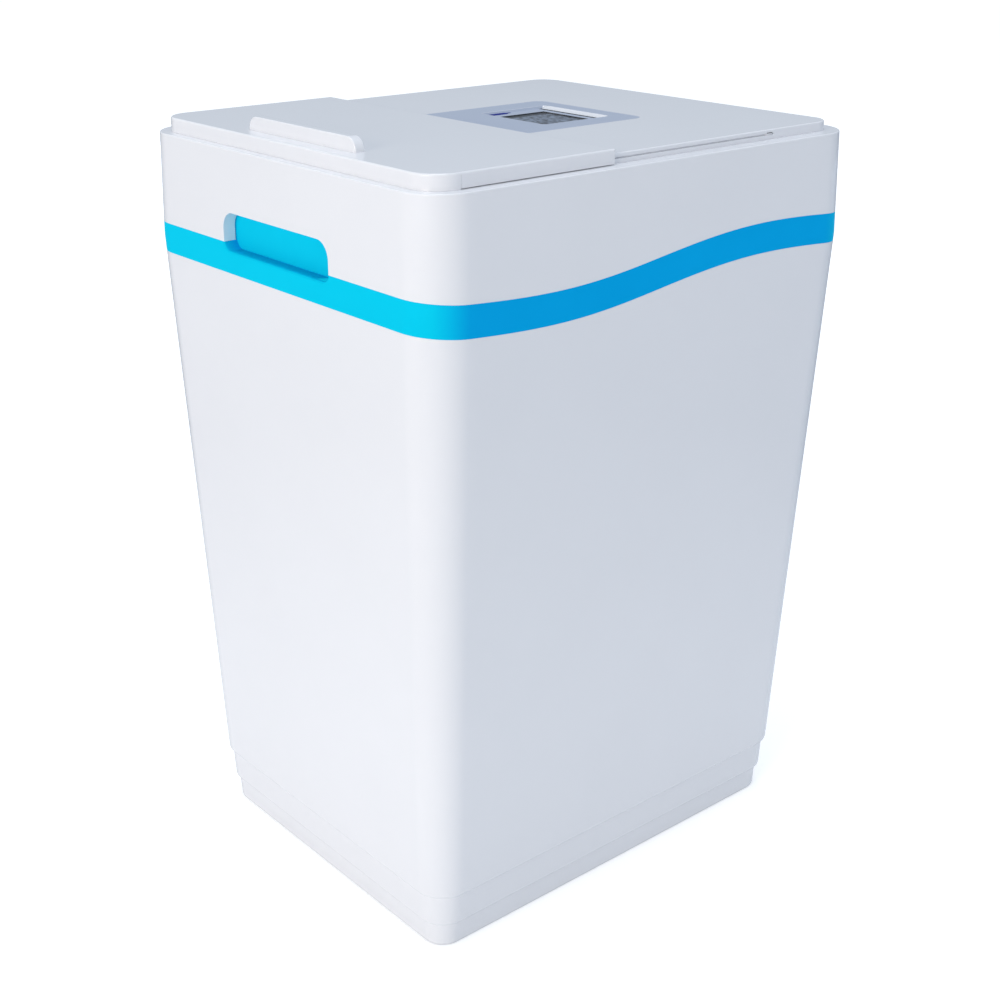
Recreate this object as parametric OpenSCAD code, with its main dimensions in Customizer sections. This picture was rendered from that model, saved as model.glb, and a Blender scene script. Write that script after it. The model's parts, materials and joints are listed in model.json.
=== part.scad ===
// Compact cabinet water softener. A tapered brine tank carries a blue trim band and a white casing.
// A hatch slides back over the fixed service deck to fill salt. Behind the salt stands the resin
// vessel with its rotary control valve. Front is -Y, up is +Z, the origin lies on the floor.

/* [Cabinet] */
// Width across the widest line, at the trim band
cabinet_w = 360; // [340:1:420]
// Depth across the widest line, at the trim band
cabinet_d = 421; // [410:1:470]
// Height of the casing rim above the floor
rim_z = 591; // [580:1:640]
// Height of the casing, from the widest line to its rim
casing_h = 79; // [72:1:90]
// Radius of the upright corners at the widest line
corner_r = 32; // [26:1:40]
// Thickness of the moulded walls
wall = 3; // [2.4:0.1:4]
// Draft of the casing per side, from the widest line to the rim
casing_draft = 1.7; // [0:0.1:3]
// Soft edge round the casing rim
rim_edge = 1; // [0.8:0.1:5]

/* [Tank] */
// Draft of the tank per side to left and right, from the widest line to the upper step
tank_draft_x = 22; // [10:1:26]
// Draft of the tank per side to front and back
tank_draft_y = 15; // [8:1:20]
// Height of the upper base step
step_high_z = 50; // [40:1:60]
// Height of the lower base step
step_low_z = 22; // [16:1:30]
// How far each base step is set in
step_in = 3; // [1:0.1:4]
// Radius of the upright corners at the base
base_r = 25; // [20:1:32]
// Height of the tank floor's upper face
floor_z = 7; // [6:0.5:10]
// Height of the recess under the floor
foot_h = 3; // [2:0.5:4]
// Width of the ring that the tank stands on
foot_w = 14; // [10:1:20]

/* [Trim band] */
// Height of the blue trim band
band_h = 22.9; // [18:0.1:26]
// Rise and fall of the band along the sides
band_wave = 8.6; // [0:0.1:10]
// Length of the half wave in front of the middle
wave_front = 232; // [200:1:260]
// Length of the half wave behind the middle
wave_back = 243; // [200:1:260]
// Share of a wave half as long that steepens the slope at the middle
wave_steep = 0.1; // [0:0.01:0.2]

/* [Finger grip] */
// Width of the finger grip
grip_w = 134.5; // [100:0.5:160]
// Height of the finger grip
grip_h = 28.8; // [22:0.2:34]
// Depth of the finger grip
grip_depth = 11.4; // [9:0.2:16]
// How far the grip reaches below the band's upper edge
grip_dip = 6.1; // [3:0.1:8]
// Radius of the grip's upper corners
grip_r_top = 13; // [6:0.5:14]
// Radius of the grip's lower corners
grip_r_low = 7.5; // [3:0.5:9]

/* [Salt hatch] */
// Length of the sliding hatch, front to back
hatch_l = 157.5; // [150:0.5:180]
// Thickness of the hatch plate
hatch_t = 3.2; // [2.4:0.1:4]
// Thickness of the hatch skirt
skirt_t = 2.4; // [2:0.1:3]
// Radius of the hatch's front corners
hatch_r = 22; // [14:1:28]
// Shelf between the casing rim and the hatch
shelf_w = 10; // [7:0.5:14]
// Length of the grip tab
tab_l = 132; // [90:1:160]
// Height of the grip tab
tab_h = 10; // [7:0.5:14]
// Thickness of the grip tab
tab_t = 8; // [5:0.5:12]
// Distance from the hatch's front edge to the grip tab
tab_back = 14.4; // [8:0.2:24]
// Radius of the grip tab's upper corners
tab_r = 9.5; // [4:0.5:10]
// Sideways place of the grip tab
tab_x = 2.5; // [0:0.5:6]

/* [Service deck] */
// Height of the service deck above the casing rim
deck_rise = 7.2; // [6.5:0.1:10]
// Shelf between the casing rim and the back of the deck
deck_back_w = 12.6; // [10:0.1:18]
// Radius of the deck's rear corners
deck_r = 18; // [10:1:24]
// Thickness of the deck's top
deck_t = 2.5; // [2:0.1:3]
// Overlap of the deck under the hatch
lap = 14; // [13:0.5:20]
// Length of the side track behind the closed hatch
track_l = 160.5; // [150:0.5:170]
// Height of the side track
track_h = 2; // [1.6:0.1:2.4]
// Depth of the side track
track_deep = 2.3; // [1.8:0.1:2.8]

/* [Display] */
// Width of the label plate
label_w = 121; // [110:1:140]
// Distance from the deck's back to the label plate
label_back_w = 103; // [96:0.5:112]
// Thickness of the label plate
label_t = 0.6; // [0.4:0.1:1]
// Width of the display window
window_w = 76; // [70:1:84]
// Depth of the display window, front to back
window_d = 69; // [58:1:74]
// Sideways place of the display window
window_x = 3; // [0:0.5:8]
// Margin of the label plate behind the window
window_back_w = 15.2; // [12:0.2:20]
// Width of the display ledge beside the screen
ledge_w = 14; // [11:0.5:15]
// Depth of the display ledge behind the screen
rear_ledge_w = 10; // [6:0.5:12]
// Width of the sloped frame round the screen
slope_w = 5; // [4:0.5:7]

/* [Resin vessel] */
// Radius of the resin vessel
vessel_r = 94; // [84:1:98]
// Distance from the cabinet's back to the vessel's axis
vessel_back_w = 132.5; // [128:0.5:140]
// Wall of the resin vessel
vessel_t = 3; // [2:0.1:4]
// Height of the vessel's domed ends
dome_h = 42; // [34:1:50]
// Radius of the vessel's neck
neck_r = 32.7; // [31:0.1:34]
// Radius of the riser tube
riser_r = 13.5; // [12:0.1:15]
// Height of the resin bed above the floor of the tank
bed_h = 320; // [250:5:350]

/* [Control valve] */
// Height of the valve body
valve_h = 98; // [94:1:110]
// Radius of the valve body
valve_r = 40; // [38:0.5:42]
// Distance of each water port from the middle
port_x = 38; // [34:0.5:42]
// Outer diameter of the water port thread, G 3/4
port_d = 26.4; // [20:0.1:30]
// Bore of the water ports
port_bore_d = 18; // [14:0.5:20]
// Outer diameter of the drain spigot
drain_d = 12.7; // [10:0.1:14]
// Teeth on the drive gear
gear_teeth = 50; // [40:1:54]
// Teeth on the motor pinion
pinion_teeth = 10; // [8:1:12]
// Gear module
gear_m = 2; // [1.8:0.05:2.1]
// Direction of the motor from the valve's axis, in degrees
motor_angle = -30; // [-45:1:-15]
// Radius of the drive motor
motor_r = 15; // [12:0.5:17]

/* [Brine well] */
// Radius of the brine well
well_r = 42; // [36:0.5:44]
// Distance from the cabinet's left side to the well's axis
well_side_w = 88; // [84:1:96]
// Distance from the cabinet's front to the well's axis
well_front_w = 122.5; // [115:0.5:130]
// Distance from the widest line down to the brine well's top
well_drop = 28; // [24:1:60]
// Radius of the pick-up tube and the brine line
tube_r = 4.75; // [3:0.05:5]
// Radius of the float
float_r = 28; // [22:0.5:32]
// Height of the float
float_h = 70; // [40:1:90]
// Height of the float's lower stop above the floor
float_z = 250; // [200:1:280]
// Travel of the float
float_travel = 80; // [40:1:100]
// Distance from the widest line down to the overflow
overflow_drop = 92; // [80:1:130]
// Distance from the cabinet's left side to the overflow
overflow_side_w = 70; // [55:1:85]

/* [Clearances] */
// Gap between mouldings that slip over each other
slip = 0.3; // [0.2:0.05:0.5]
// Radial gap of a running fit
run = 0.05; // [0.02:0.01:0.1]
// Gap between the hatch and the deck under it
hatch_gap = 0.4; // [0.3:0.05:0.8]
// Gap between the hatch skirt and the sides of the deck
side_gap = 0.5; // [0.3:0.05:0.8]
// Gap between the hatch skirt and the casing rim
sill_gap = 1.2; // [0.8:0.1:2]

/* [Hidden] */
$fn = 64;
// Colours of the mouldings
white = "#e8ecf1";
blue = "#0cb0e0";
pale_blue = "#a5b2cb";
dark = "#3c4148";
// Thickness of the slabs that a loft is drawn between, and reach of a cut past its face
skin = 0.1;
cut = 1;
far = 1000;
// Half sizes and level of the widest line, and half sizes of the rim
half_w = cabinet_w / 2;
half_d = cabinet_d / 2;
waist_z = rim_z - casing_h;
rim_w = half_w - casing_draft;
rim_d = half_d - casing_draft;
// Soft lower edge of the tank and its steps
edge_h = 3;
edge_in = 1.4;
// Tongue inside the tank's top that the band and the casing slip over
tongue_gap = 1.2;
tongue_t = 2.4;
tongue_top = waist_z + 33;
tongue_low = waist_z - 42;
tongue_w = half_w - wall - tongue_gap;
tongue_d = half_d - wall - tongue_gap;
tongue_r = corner_r - wall;
// How far the crest of the band's lower edge stays below the widest line
band_drop = 1.85;
// Level of the band's upper edge where its wave crosses the middle, and at the front
band_mid_z = waist_z - band_drop - band_wave + band_h;
band_front_z = band_line(-half_d);
// Finger grip
grip_z0 = band_front_z - grip_dip;
grip_z1 = grip_z0 + grip_h;
grip_y = -half_d + grip_depth;
grip_wall = 2.5;
grip_notch = 5;
// Hatch and deck levels
deck_z = rim_z + deck_rise;
hatch_under = deck_z + hatch_gap;
hatch_top = hatch_under + hatch_t;
hatch_w = rim_w - shelf_w;
hatch_y0 = -(rim_d - shelf_w + 1);
hatch_y1 = hatch_y0 + hatch_l;
hatch_front_t = 2;
hatch_edge = 1.6;
deck_w = hatch_w - skirt_t - side_gap;
deck_y0 = hatch_y1 - lap;
deck_y1 = rim_d - deck_back_w;
deck_side_t = 5;
// Front corners of the deck nest in the open hatch
deck_front_r = hatch_r - skirt_t - 1.6;
track_z = rim_z + deck_rise / 2 - track_h / 2 + 0.4;
track_y1 = hatch_y1 + track_l;
stop_l = 6;
runner_l = 10;
// The front of the skirt slides on the rim, to just past its rounded corners
hem_l = 2;
// Openings in the casing's top
salt_x = rim_w - 30;
salt_y0 = hatch_y0 + 12;
salt_y1 = deck_y0 - 6;
salt_r = 12;
salt_lip_t = 2;
salt_lip_h = 12;
service_x = deck_w - 25;
service_y1 = deck_y1 - 16;
// Label, window and screen
label_y1 = deck_y1 - label_back_w;
label_y0 = deck_y0 + 3;
label_r = 12;
window_y1 = label_y1 - window_back_w;
window_y = window_y1 - window_d / 2;
window_r = 4;
bezel_flange = 5;
// The service opening starts behind the cross bar and clear of the display frame
service_y0 = min(deck_y0 + 22, window_y - window_d / 2 - bezel_flange - 2);
bezel_low = deck_z - deck_t - 2.5;
screen_z = bezel_low;
screen_w = window_w - ledge_w - slope_w;
ledge_d = window_d - 2 * slope_w;
screen_d = ledge_d - rear_ledge_w;
screen_y = window_y - rear_ledge_w / 2;
screen_x = window_x + (ledge_w - slope_w) / 2;
ledge_z = bezel_low + 3;
lens_t = 2.4;
side_slope_w = 1.5;
light_l = 20;
light_w = 2.6;
light_x = window_x - window_w / 2 + side_slope_w + light_w / 2 + 0.6;
light_y = window_y - window_d / 2 + 18.5;
board_t = 1.6;
board_z = screen_z - 9.6 - board_t;
board_side_w = 19;
board_end_w = 12;
board_w = window_w + 2 * board_side_w;
board_d = window_d + 2 * board_end_w;
plug_pitch = 22;
plug_w = 14;
plug_h = 6;
post_r = 3;
post_in = 5;
// Places of the vessel, the well and the overflow
vessel_y = half_d - vessel_back_w;
well_x = -half_w + well_side_w;
well_y = -half_d + well_front_w;
well_top_z = waist_z - well_drop;
pickup_z = floor_z + 22;
overflow_x = -half_w + overflow_side_w;
overflow_z = waist_z - overflow_drop;
// Valve levels, hung under the control board
gear_t = 6;
hub_rise = 2;
head_gap = 3;
cap_gap = 1;
cap_t = 4;
gear_z = board_z - head_gap - hub_rise - gear_t;
cap_z = gear_z - cap_gap - cap_t;
valve_z = cap_z - valve_h;
collar_h = 22;
collar_r = neck_r + 13;
neck_top = valve_z + collar_h;
shoulder_z = valve_z - 2;
vessel_z = floor_z + 13;
vessel_low = vessel_z + dome_h;
vessel_high = shoulder_z - dome_h;
port_z = cap_z - 16;
port_end = rim_d - 9;
tube_end = port_end - 34;
block_back = 66;
block_y1 = vessel_y + block_back;
block_w = 2 * port_x + 44;
flange_r = port_d / 2 + 3.8;
flange_t = 5;
shaft_r = 8;
rotor_r = 24;
rotor_t = 11;
rotor_port_r = 5.5;
rotor_port_out = 15;
rotor_z = cap_z - 28;
gear_r = gear_m * gear_teeth / 2;
pinion_r = gear_m * pinion_teeth / 2;
motor_dist = gear_r + pinion_r;
motor_x = motor_dist * cos(motor_angle);
motor_y = vessel_y + motor_dist * sin(motor_angle);
motor_h = 42;
motor_shaft_r = 2;
strainer_r = riser_r + 10;
turbine_r = port_bore_d / 2 - 0.6;
turbine_y = block_y1 - 4;
turbine_l = 14;
spider_t = 3;
pin_r = 1.25;
drain_x = block_w / 2 + 20;
drain_y = vessel_y + 46;
// Brine line from the well to the valve
line_z = valve_z + 42;
line_dx = -well_x;
line_dy = vessel_y - well_y;
line_l = norm([line_dx, line_dy]);
line_angle = atan2(line_dy, line_dx);
elbow_l = 16;
elbow_seat = 6;
plug_r = valve_r + 6;
plug_l = 12;
// Port cut-out in the casing's back
port_cut_w = 2 * drain_x + 26;
port_cut_z0 = port_z - 20;
port_cut_z1 = port_z + 24;
port_cut_r = 8;
// Small pieces on the back
socket_side_w = 55;
socket_x = -half_w + socket_side_w;
socket_r = 5.5;
socket_l = 12;
jack_r = 2.75;
jack_l = 9;
socket_z = port_z + 8;
screw_r = 2;
screw_head_r = 4;
screw_l = 12;
screw_xs = [-half_w + corner_r + 10, -port_cut_w / 2 - 10, port_cut_w / 2 + 10, half_w - corner_r - 10];
screw_z = tongue_top - 7;
deck_screw_x = deck_w - 35;
deck_screw_y = deck_y0 + 6.5;
deck_screw_r = 1.8;
// Salt grid over the tank floor
grid_z = floor_z + 55;
grid_t = 3;
grid_gap = 3;
slot_l = 24;
slot_w = 6;
slot_pitch_x = 34;
slot_pitch_y = 16;
baffle_t = 2.5;
baffle_z = well_top_z + 11;
baffle_y = salt_y1 + salt_lip_t + 1;
overflow_r = 9;
overflow_bend = 14;
overflow_flange_r = overflow_r + 5;
// Gap that lets the flat flange stand on the sloping wall
overflow_gap = slip + overflow_flange_r * tank_draft_y / (waist_z - step_high_z);

// Level of the band's upper edge at a place along the side
function band_turn(y) = 180 * y / (y < 0 ? wave_front : wave_back);
function band_line(y) = band_mid_z + band_wave * (sin(band_turn(y)) + wave_steep * sin(2 * band_turn(y)));
// Half sizes and corner radius of the cabinet at a height
function low_share(z) = max(0, (waist_z - z) / (waist_z - step_high_z));
function high_share(z) = max(0, (z - waist_z) / (rim_z - waist_z));
function out_w(z) = half_w - tank_draft_x * low_share(z) - casing_draft * high_share(z);
function out_d(z) = half_d - tank_draft_y * low_share(z) - casing_draft * high_share(z);
function out_r(z) = corner_r - (corner_r - base_r) * low_share(z);

// Rounded rectangle from its half sizes
module plan(hw, hd, r) {
  square([2 * (hw - r), 2 * hd], center = true);
  square([2 * hw, 2 * (hd - r)], center = true);
  for (x = [-1, 1], y = [-1, 1]) translate([x * (hw - r), y * (hd - r)]) circle(r);
}

// Thin slab of the cabinet's section at a height, set in all round
module section(z, inset) {
  translate([0, 0, z]) linear_extrude(skin)
    plan(out_w(z) - inset, out_d(z) - inset, max(out_r(z) - inset, 2), $fn = 48);
}

// Everything below the band's upper edge, moved up or down
module below_band(shift) {
  edge = [for (i = [-44:44]) [i * (half_d + 8) / 44, band_line(i * (half_d + 8) / 44) + shift]];
  rotate([90, 0, 90]) translate([0, 0, -half_w - 8]) linear_extrude(cabinet_w + 16)
    polygon(concat([[-half_d - 8, -cut]], edge, [[half_d + 8, -cut]]));
}

// Outline that is drawn in the X-Z plane and runs from y0 to y1
module across(y0, y1) {
  translate([0, y1, 0]) rotate([90, 0, 0]) linear_extrude(y1 - y0) children();
}

// Outline of the finger grip, grown all round
module grip_outline(grow) {
  w = grip_w / 2 + grow;
  rt = grip_r_top + grow;
  rl = grip_r_low + grow;
  translate([-w, grip_z0 - grow + rl]) square([2 * w, grip_h + 2 * grow - rl - rt]);
  translate([-w + rl, grip_z0 - grow]) square([2 * (w - rl), grip_h + 2 * grow - rt]);
  translate([-w + rt, grip_z0]) square([2 * (w - rt), grip_h + grow]);
  for (x = [-1, 1]) {
    translate([x * (w - rl), grip_z0 - grow + rl]) circle(rl);
    translate([x * (w - rt), grip_z1 + grow - rt]) circle(rt);
  }
}

// Outline with two rounded corners at one end of its depth
module tongue_plan(hw, y0, y1, r, front) {
  e = front ? y0 : y1 - r;
  translate([-hw, front ? y0 + r : y0]) square([2 * hw, y1 - y0 - r]);
  translate([-hw + r, e]) square([2 * (hw - r), r]);
  for (x = [-1, 1]) translate([x * (hw - r), front ? y0 + r : y1 - r]) circle(r);
}

// A piece on the right and its mirror image on the left
module both_sides() {
  children();
  mirror([1, 0, 0]) children();
}

// Ring on an upright axis
module ring(r1, r0, z, h) {
  translate([0, 0, z]) difference() {
    cylinder(r = r1, h = h);
    translate([0, 0, -cut]) cylinder(r = r0, h = h + 2 * cut);
  }
}

// Round bar along Y
module bar_y(r, y0, y1) {
  translate([0, y1, 0]) rotate([90, 0, 0]) cylinder(r = r, h = y1 - y0);
}

// Toothed disc with straight-flanked teeth, one tooth on the +X axis
module toothed(teeth, t) {
  r = gear_m * teeth / 2;
  pitch = 360 / teeth;
  tip = 0.10;
  root = 0.27;
  linear_extrude(t) polygon([for (i = [0:teeth - 1], p = [
      [-root, r - 1.2 * gear_m], [-tip, r + 0.85 * gear_m],
      [tip, r + 0.85 * gear_m], [root, r - 1.2 * gear_m]])
    p[1] * [cos((i + p[0]) * pitch), sin((i + p[0]) * pitch)]]);
}

// Tapered shell with stepped base, a stiffened floor and a tongue round its open top
module salt_tank() {
  color(white) {
    difference() {
      union() {
        intersection() {
          tank_outside();
          below_band(-band_h);
        }
        translate([0, 0, tongue_low]) linear_extrude(tongue_top - tongue_low)
          plan(tongue_w, tongue_d, tongue_r);
      }
      tank_hollow();
      translate([0, 0, -cut]) linear_extrude(foot_h + cut)
        plan(out_w(0) - 2 * step_in - foot_w, out_d(0) - 2 * step_in - foot_w, base_r - 6);
      grip_gap = grip_w / 2 + grip_wall + grip_notch;
      translate([-grip_gap, -far, grip_z0 - grip_wall - grip_notch]) cube([2 * grip_gap, far, far]);
      translate([-port_cut_w / 2, 0, port_cut_z0 - grip_notch]) cube([port_cut_w, far, far]);
      translate([overflow_x, 0, overflow_z]) bar_y(overflow_r + slip, half_d - 30, half_d + 5);
      for (x = screw_xs) translate([x, 0, screw_z]) bar_y(screw_r + run, tongue_d - 10, half_d);
    }
    floor_ribs();
  }
}

module tank_outside() {
  hull() {
    section(step_high_z, edge_in);
    section(step_high_z + edge_h, 0);
    section(waist_z, 0);
  }
  hull() {
    section(step_low_z, step_in + edge_in);
    section(step_low_z + edge_h, step_in);
    section(step_high_z + edge_h, step_in);
  }
  hull() {
    section(0, 2 * step_in + 2 * edge_in);
    section(edge_h, 2 * step_in);
    section(step_low_z + edge_h, 2 * step_in);
  }
}

module tank_hollow() {
  hull() {
    section(floor_z, 2 * step_in + 2 * wall);
    section(floor_z + wall, 2 * step_in + wall);
    section(step_high_z + 2 * wall, step_in + wall);
  }
  hull() {
    section(step_high_z + wall, wall);
    section(tongue_low, wall);
  }
  translate([0, 0, tongue_low]) linear_extrude(tongue_top - tongue_low + cut)
    plan(tongue_w - tongue_t, tongue_d - tongue_t, tongue_r - tongue_t);
}

// Cross ribs in the recess under the floor
module floor_ribs() {
  rib = 4;
  w = out_w(0) - 2 * step_in - foot_w + 2;
  d = out_d(0) - 2 * step_in - foot_w + 2;
  for (x = [-0.5, 0, 0.5]) translate([x * w - rib / 2, -d, 0]) cube([rib, 2 * d, foot_h + cut]);
  for (y = [-0.6, -0.2, 0.2, 0.6]) translate([-w, y * d - rib / 2, 0]) cube([2 * w, rib, foot_h + cut]);
}

// Blue band with the floor and back wall of the finger grip moulded on
module trim_band() {
  color(blue) difference() {
    union() {
      difference() {
        intersection() {
          hull() {
            section(band_mid_z - band_wave - band_h - 4, 0);
            section(waist_z, 0);
            section(band_mid_z + band_wave + 4, 0);
          }
          below_band(0);
        }
        below_band(-band_h);
        translate([0, 0, tongue_low]) linear_extrude(far) plan(half_w - wall, half_d - wall, corner_r - wall);
      }
      intersection() {
        across(-half_d + 1.5, grip_y + grip_wall) grip_outline(grip_wall);
        translate([-far / 2, -far, -far]) cube([far, far, far + band_front_z]);
      }
      across(grip_y, grip_y + grip_wall) grip_outline(grip_wall);
    }
    across(-half_d - cut, grip_y) grip_outline(0);
  }
}

// White casing with the rim shelf, the salt opening and the service opening
module top_casing() {
  color(white) difference() {
    union() {
      difference() {
        hull() {
          section(waist_z, 0);
          section(rim_z - rim_edge, 0);
          section(rim_z - rim_edge * 0.45, rim_edge * 0.16);
          section(rim_z - rim_edge * 0.12, rim_edge * 0.5);
          section(rim_z - skin, rim_edge);
        }
        hull() {
          section(waist_z - cut, wall);
          section(rim_z - wall, wall);
        }
        below_band(0);
      }
      intersection() {
        across(-half_d + 1.5, grip_y - slip) difference() {
          grip_outline(grip_wall);
          grip_outline(0);
        }
        translate([-far / 2, -far, band_front_z]) cube(far);
      }
      translate([0, (salt_y0 + salt_y1) / 2, rim_z - wall - salt_lip_h])
        linear_extrude(salt_lip_h + wall / 2)
          plan(salt_x + salt_lip_t, (salt_y1 - salt_y0) / 2 + salt_lip_t, salt_r + salt_lip_t);
    }
    across(-half_d - cut, -half_d + 8) grip_outline(0);
    translate([0, (salt_y0 + salt_y1) / 2, rim_z - far / 2]) linear_extrude(far)
      plan(salt_x, (salt_y1 - salt_y0) / 2, salt_r);
    translate([0, (service_y0 + service_y1) / 2, rim_z - wall - cut]) linear_extrude(wall + 2 * cut)
      plan(service_x, (service_y1 - service_y0) / 2, salt_r);
    across(half_d - 12, half_d + cut) translate([0, (port_cut_z0 + port_cut_z1) / 2])
      plan(port_cut_w / 2, (port_cut_z1 - port_cut_z0) / 2, port_cut_r);
    translate([socket_x, 0, socket_z]) bar_y(socket_r + slip, half_d - 12, half_d + cut);
    for (x = screw_xs) translate([x, 0, screw_z]) bar_y(screw_r + run, half_d - 12, half_d + cut);
    for (x = [-1, 1]) translate([x * deck_screw_x, deck_screw_y, rim_z - screw_l])
      cylinder(r = deck_screw_r + run, h = screw_l + cut);
  }
}

// Outline of the deck, set in at its sides and its ends
module deck_plan(in_x, in_y) {
  intersection() {
    tongue_plan(deck_w - in_x, deck_y0 + in_y, deck_y1 - in_y, deck_r - in_y, false);
    tongue_plan(deck_w - in_x, deck_y0 + in_y, deck_y1 - in_y, deck_front_r - in_y, true);
  }
}

// Fixed rear cover with the side tracks, the label recess and the window
module service_deck() {
  color(white) difference() {
    translate([0, 0, rim_z]) linear_extrude(deck_rise) deck_plan(0, 0);
    difference() {
      translate([0, 0, rim_z - cut]) linear_extrude(deck_rise - deck_t + cut) deck_plan(deck_side_t, deck_t);
      for (x = [-1, 1]) translate([x * deck_screw_x, deck_screw_y, rim_z]) cylinder(r = 5, h = deck_rise);
    }
    both_sides() translate([deck_w - track_deep, deck_y0 - cut, track_z])
      cube([track_deep + cut, track_y1 + stop_l - deck_y0 + cut, track_h]);
    translate([0, 0, deck_z - label_t]) linear_extrude(cut)
      tongue_plan(label_w / 2 + slip, label_y0 - slip, label_y1 + slip, label_r, false);
    translate([window_x, window_y, rim_z]) linear_extrude(far) plan(window_w / 2, window_d / 2, window_r);
    for (x = [-1, 1]) translate([x * deck_screw_x, deck_screw_y, rim_z - cut]) {
      cylinder(r = deck_screw_r + run, h = deck_rise + 2 * cut);
      translate([0, 0, deck_rise + cut - 2]) cylinder(r = screw_head_r - 0.2, h = 4);
    }
  }
}

// Sliding salt hatch with a deep skirt, runners at its rear corners and an upright grip tab
module salt_lid() {
  color(white) {
    difference() {
      hull() {
        translate([0, 0, rim_z + run]) linear_extrude(skin)
          tongue_plan(hatch_w, hatch_y0, hatch_y1, hatch_r, true, $fn = 48);
        translate([0, 0, hatch_top - hatch_edge]) linear_extrude(skin)
          tongue_plan(hatch_w, hatch_y0, hatch_y1, hatch_r, true, $fn = 48);
        translate([0, 0, hatch_top - skin]) linear_extrude(skin)
          tongue_plan(hatch_w - hatch_edge, hatch_y0 + hatch_edge, hatch_y1,
            hatch_r - hatch_edge, true, $fn = 48);
      }
      translate([0, 0, rim_z - cut]) linear_extrude(hatch_under - rim_z + cut)
        tongue_plan(hatch_w - skirt_t, hatch_y0 + hatch_front_t, hatch_y1 + cut, hatch_r - skirt_t, true);
      both_sides() translate([hatch_w - skirt_t - cut, hatch_y0 + hatch_r + hem_l, rim_z - cut])
        cube([skirt_t + 2 * cut, hatch_l, sill_gap + cut]);
    }
    runner_x = deck_w - track_deep + slip;
    both_sides() {
      translate([runner_x, hatch_y1 - runner_l - 1, track_z + run])
        cube([hatch_w - skirt_t / 2 - runner_x, runner_l, track_h - 2 * run]);
    }
    grip_tab();
  }
}

// Upright tab with rounded upper corners
module grip_tab() {
  y0 = hatch_y0 + tab_back;
  across(y0, y0 + tab_t) difference() {
    translate([tab_x, hatch_top]) plan(tab_l / 2, tab_h, tab_r);
    translate([-far / 2, hatch_top - hatch_t / 2 - far]) square(far);
  }
}

// End stops in the side tracks
module track_stops() {
  color(white) both_sides() translate([deck_w - track_deep, track_y1, track_z + run])
    cube([track_deep, stop_l - run, track_h - 2 * run]);
}

module label_plate() {
  color(pale_blue) translate([0, 0, deck_z - label_t]) linear_extrude(label_t) difference() {
    tongue_plan(label_w / 2, label_y0, label_y1, label_r - slip, false);
    translate([window_x, window_y]) plan(window_w / 2, window_d / 2, window_r);
  }
}

// Sunken frame with sloped walls, a ledge for the light bar and posts for the board
module display_bezel() {
  flange_w = window_w / 2 + bezel_flange;
  flange_d = window_d / 2 + bezel_flange;
  color(white) {
    difference() {
      translate([window_x, window_y, bezel_low]) {
        linear_extrude(deck_z - bezel_low) plan(window_w / 2 - run, window_d / 2 - run, window_r);
        linear_extrude(deck_z - deck_t - bezel_low) plan(flange_w, flange_d, window_r);
      }
      hull() {
        translate([window_x, window_y, deck_z + skin])
          cube([window_w - 2, window_d - 2, skin], center = true);
        translate([window_x, window_y, ledge_z])
          cube([window_w - 2 * side_slope_w, ledge_d, skin], center = true);
      }
      translate([screen_x, screen_y, bezel_low]) cube([screen_w, screen_d, 8], center = true);
      translate([light_x, light_y, bezel_low])
        cube([light_w + 2 * run, light_l + 2 * run, 8], center = true);
    }
    for (x = [-1, 1], y = [-1, 1])
      translate([window_x + x * (flange_w - post_in), window_y + y * (flange_d - post_in), board_z + board_t])
        cylinder(r = post_r, h = bezel_low - board_z - board_t + skin);
  }
}

module display_lens() {
  color("#cfdde6") translate([screen_x, screen_y, screen_z + lens_t / 2])
    cube([screen_w - 2 * slip, screen_d - 2 * slip, lens_t], center = true);
}

// Screen module with its backlight, standing on the board
module lcd_panel() {
  color(dark) translate([screen_x, screen_y, (board_z + board_t + screen_z) / 2])
    cube([screen_w + 2, screen_d - 10 * slip, screen_z - board_z - board_t], center = true);
}

// Light bar that stands in the ledge beside the screen
module status_light() {
  color("#1f3fb0") translate([light_x, light_y, (board_z + board_t + ledge_z) / 2])
    cube([light_w, light_l, ledge_z - board_z - board_t], center = true);
}

module control_board() {
  color("#2f7d4f") translate([window_x, window_y, board_z]) difference() {
    union() {
      translate([0, 0, board_t / 2]) cube([board_w, board_d, board_t], center = true);
      for (i = [-1, 0, 1]) translate([-board_w / 2 + 3, i * plug_pitch - plug_w / 2, board_t])
        cube([plug_w / 2, plug_w, plug_h]);
    }
    for (x = [-1, 1], y = [-1, 1])
      translate([x * (board_w / 2 - 4), y * (board_d / 2 - 4), -cut]) cylinder(r = 1.6, h = 4);
  }
}

// Ribbed panel that keeps salt away from the valve, hung under the casing's cross bar
module salt_baffle() {
  w = salt_x - 6;
  z1 = rim_z - wall;
  color(white) difference() {
    union() {
      translate([-w, baffle_y, baffle_z]) cube([2 * w, baffle_t, z1 - baffle_z]);
      translate([-w, baffle_y, z1 - baffle_t]) cube([2 * w, deck_screw_y + 7 - baffle_y, baffle_t]);
      for (x = [-0.8, -0.25, 0.25, 0.8])
        translate([x * w, baffle_y, baffle_z]) cube([baffle_t, 8, z1 - baffle_z]);
    }
    for (x = [-1, 1]) translate([x * deck_screw_x, deck_screw_y, z1 - baffle_t - cut])
      cylinder(r = deck_screw_r + run, h = baffle_t + 2 * cut);
    along_line() translate([0, 0, elbow_l]) cylinder(r = tube_r + 2, h = line_l - elbow_l);
  }
}

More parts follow.
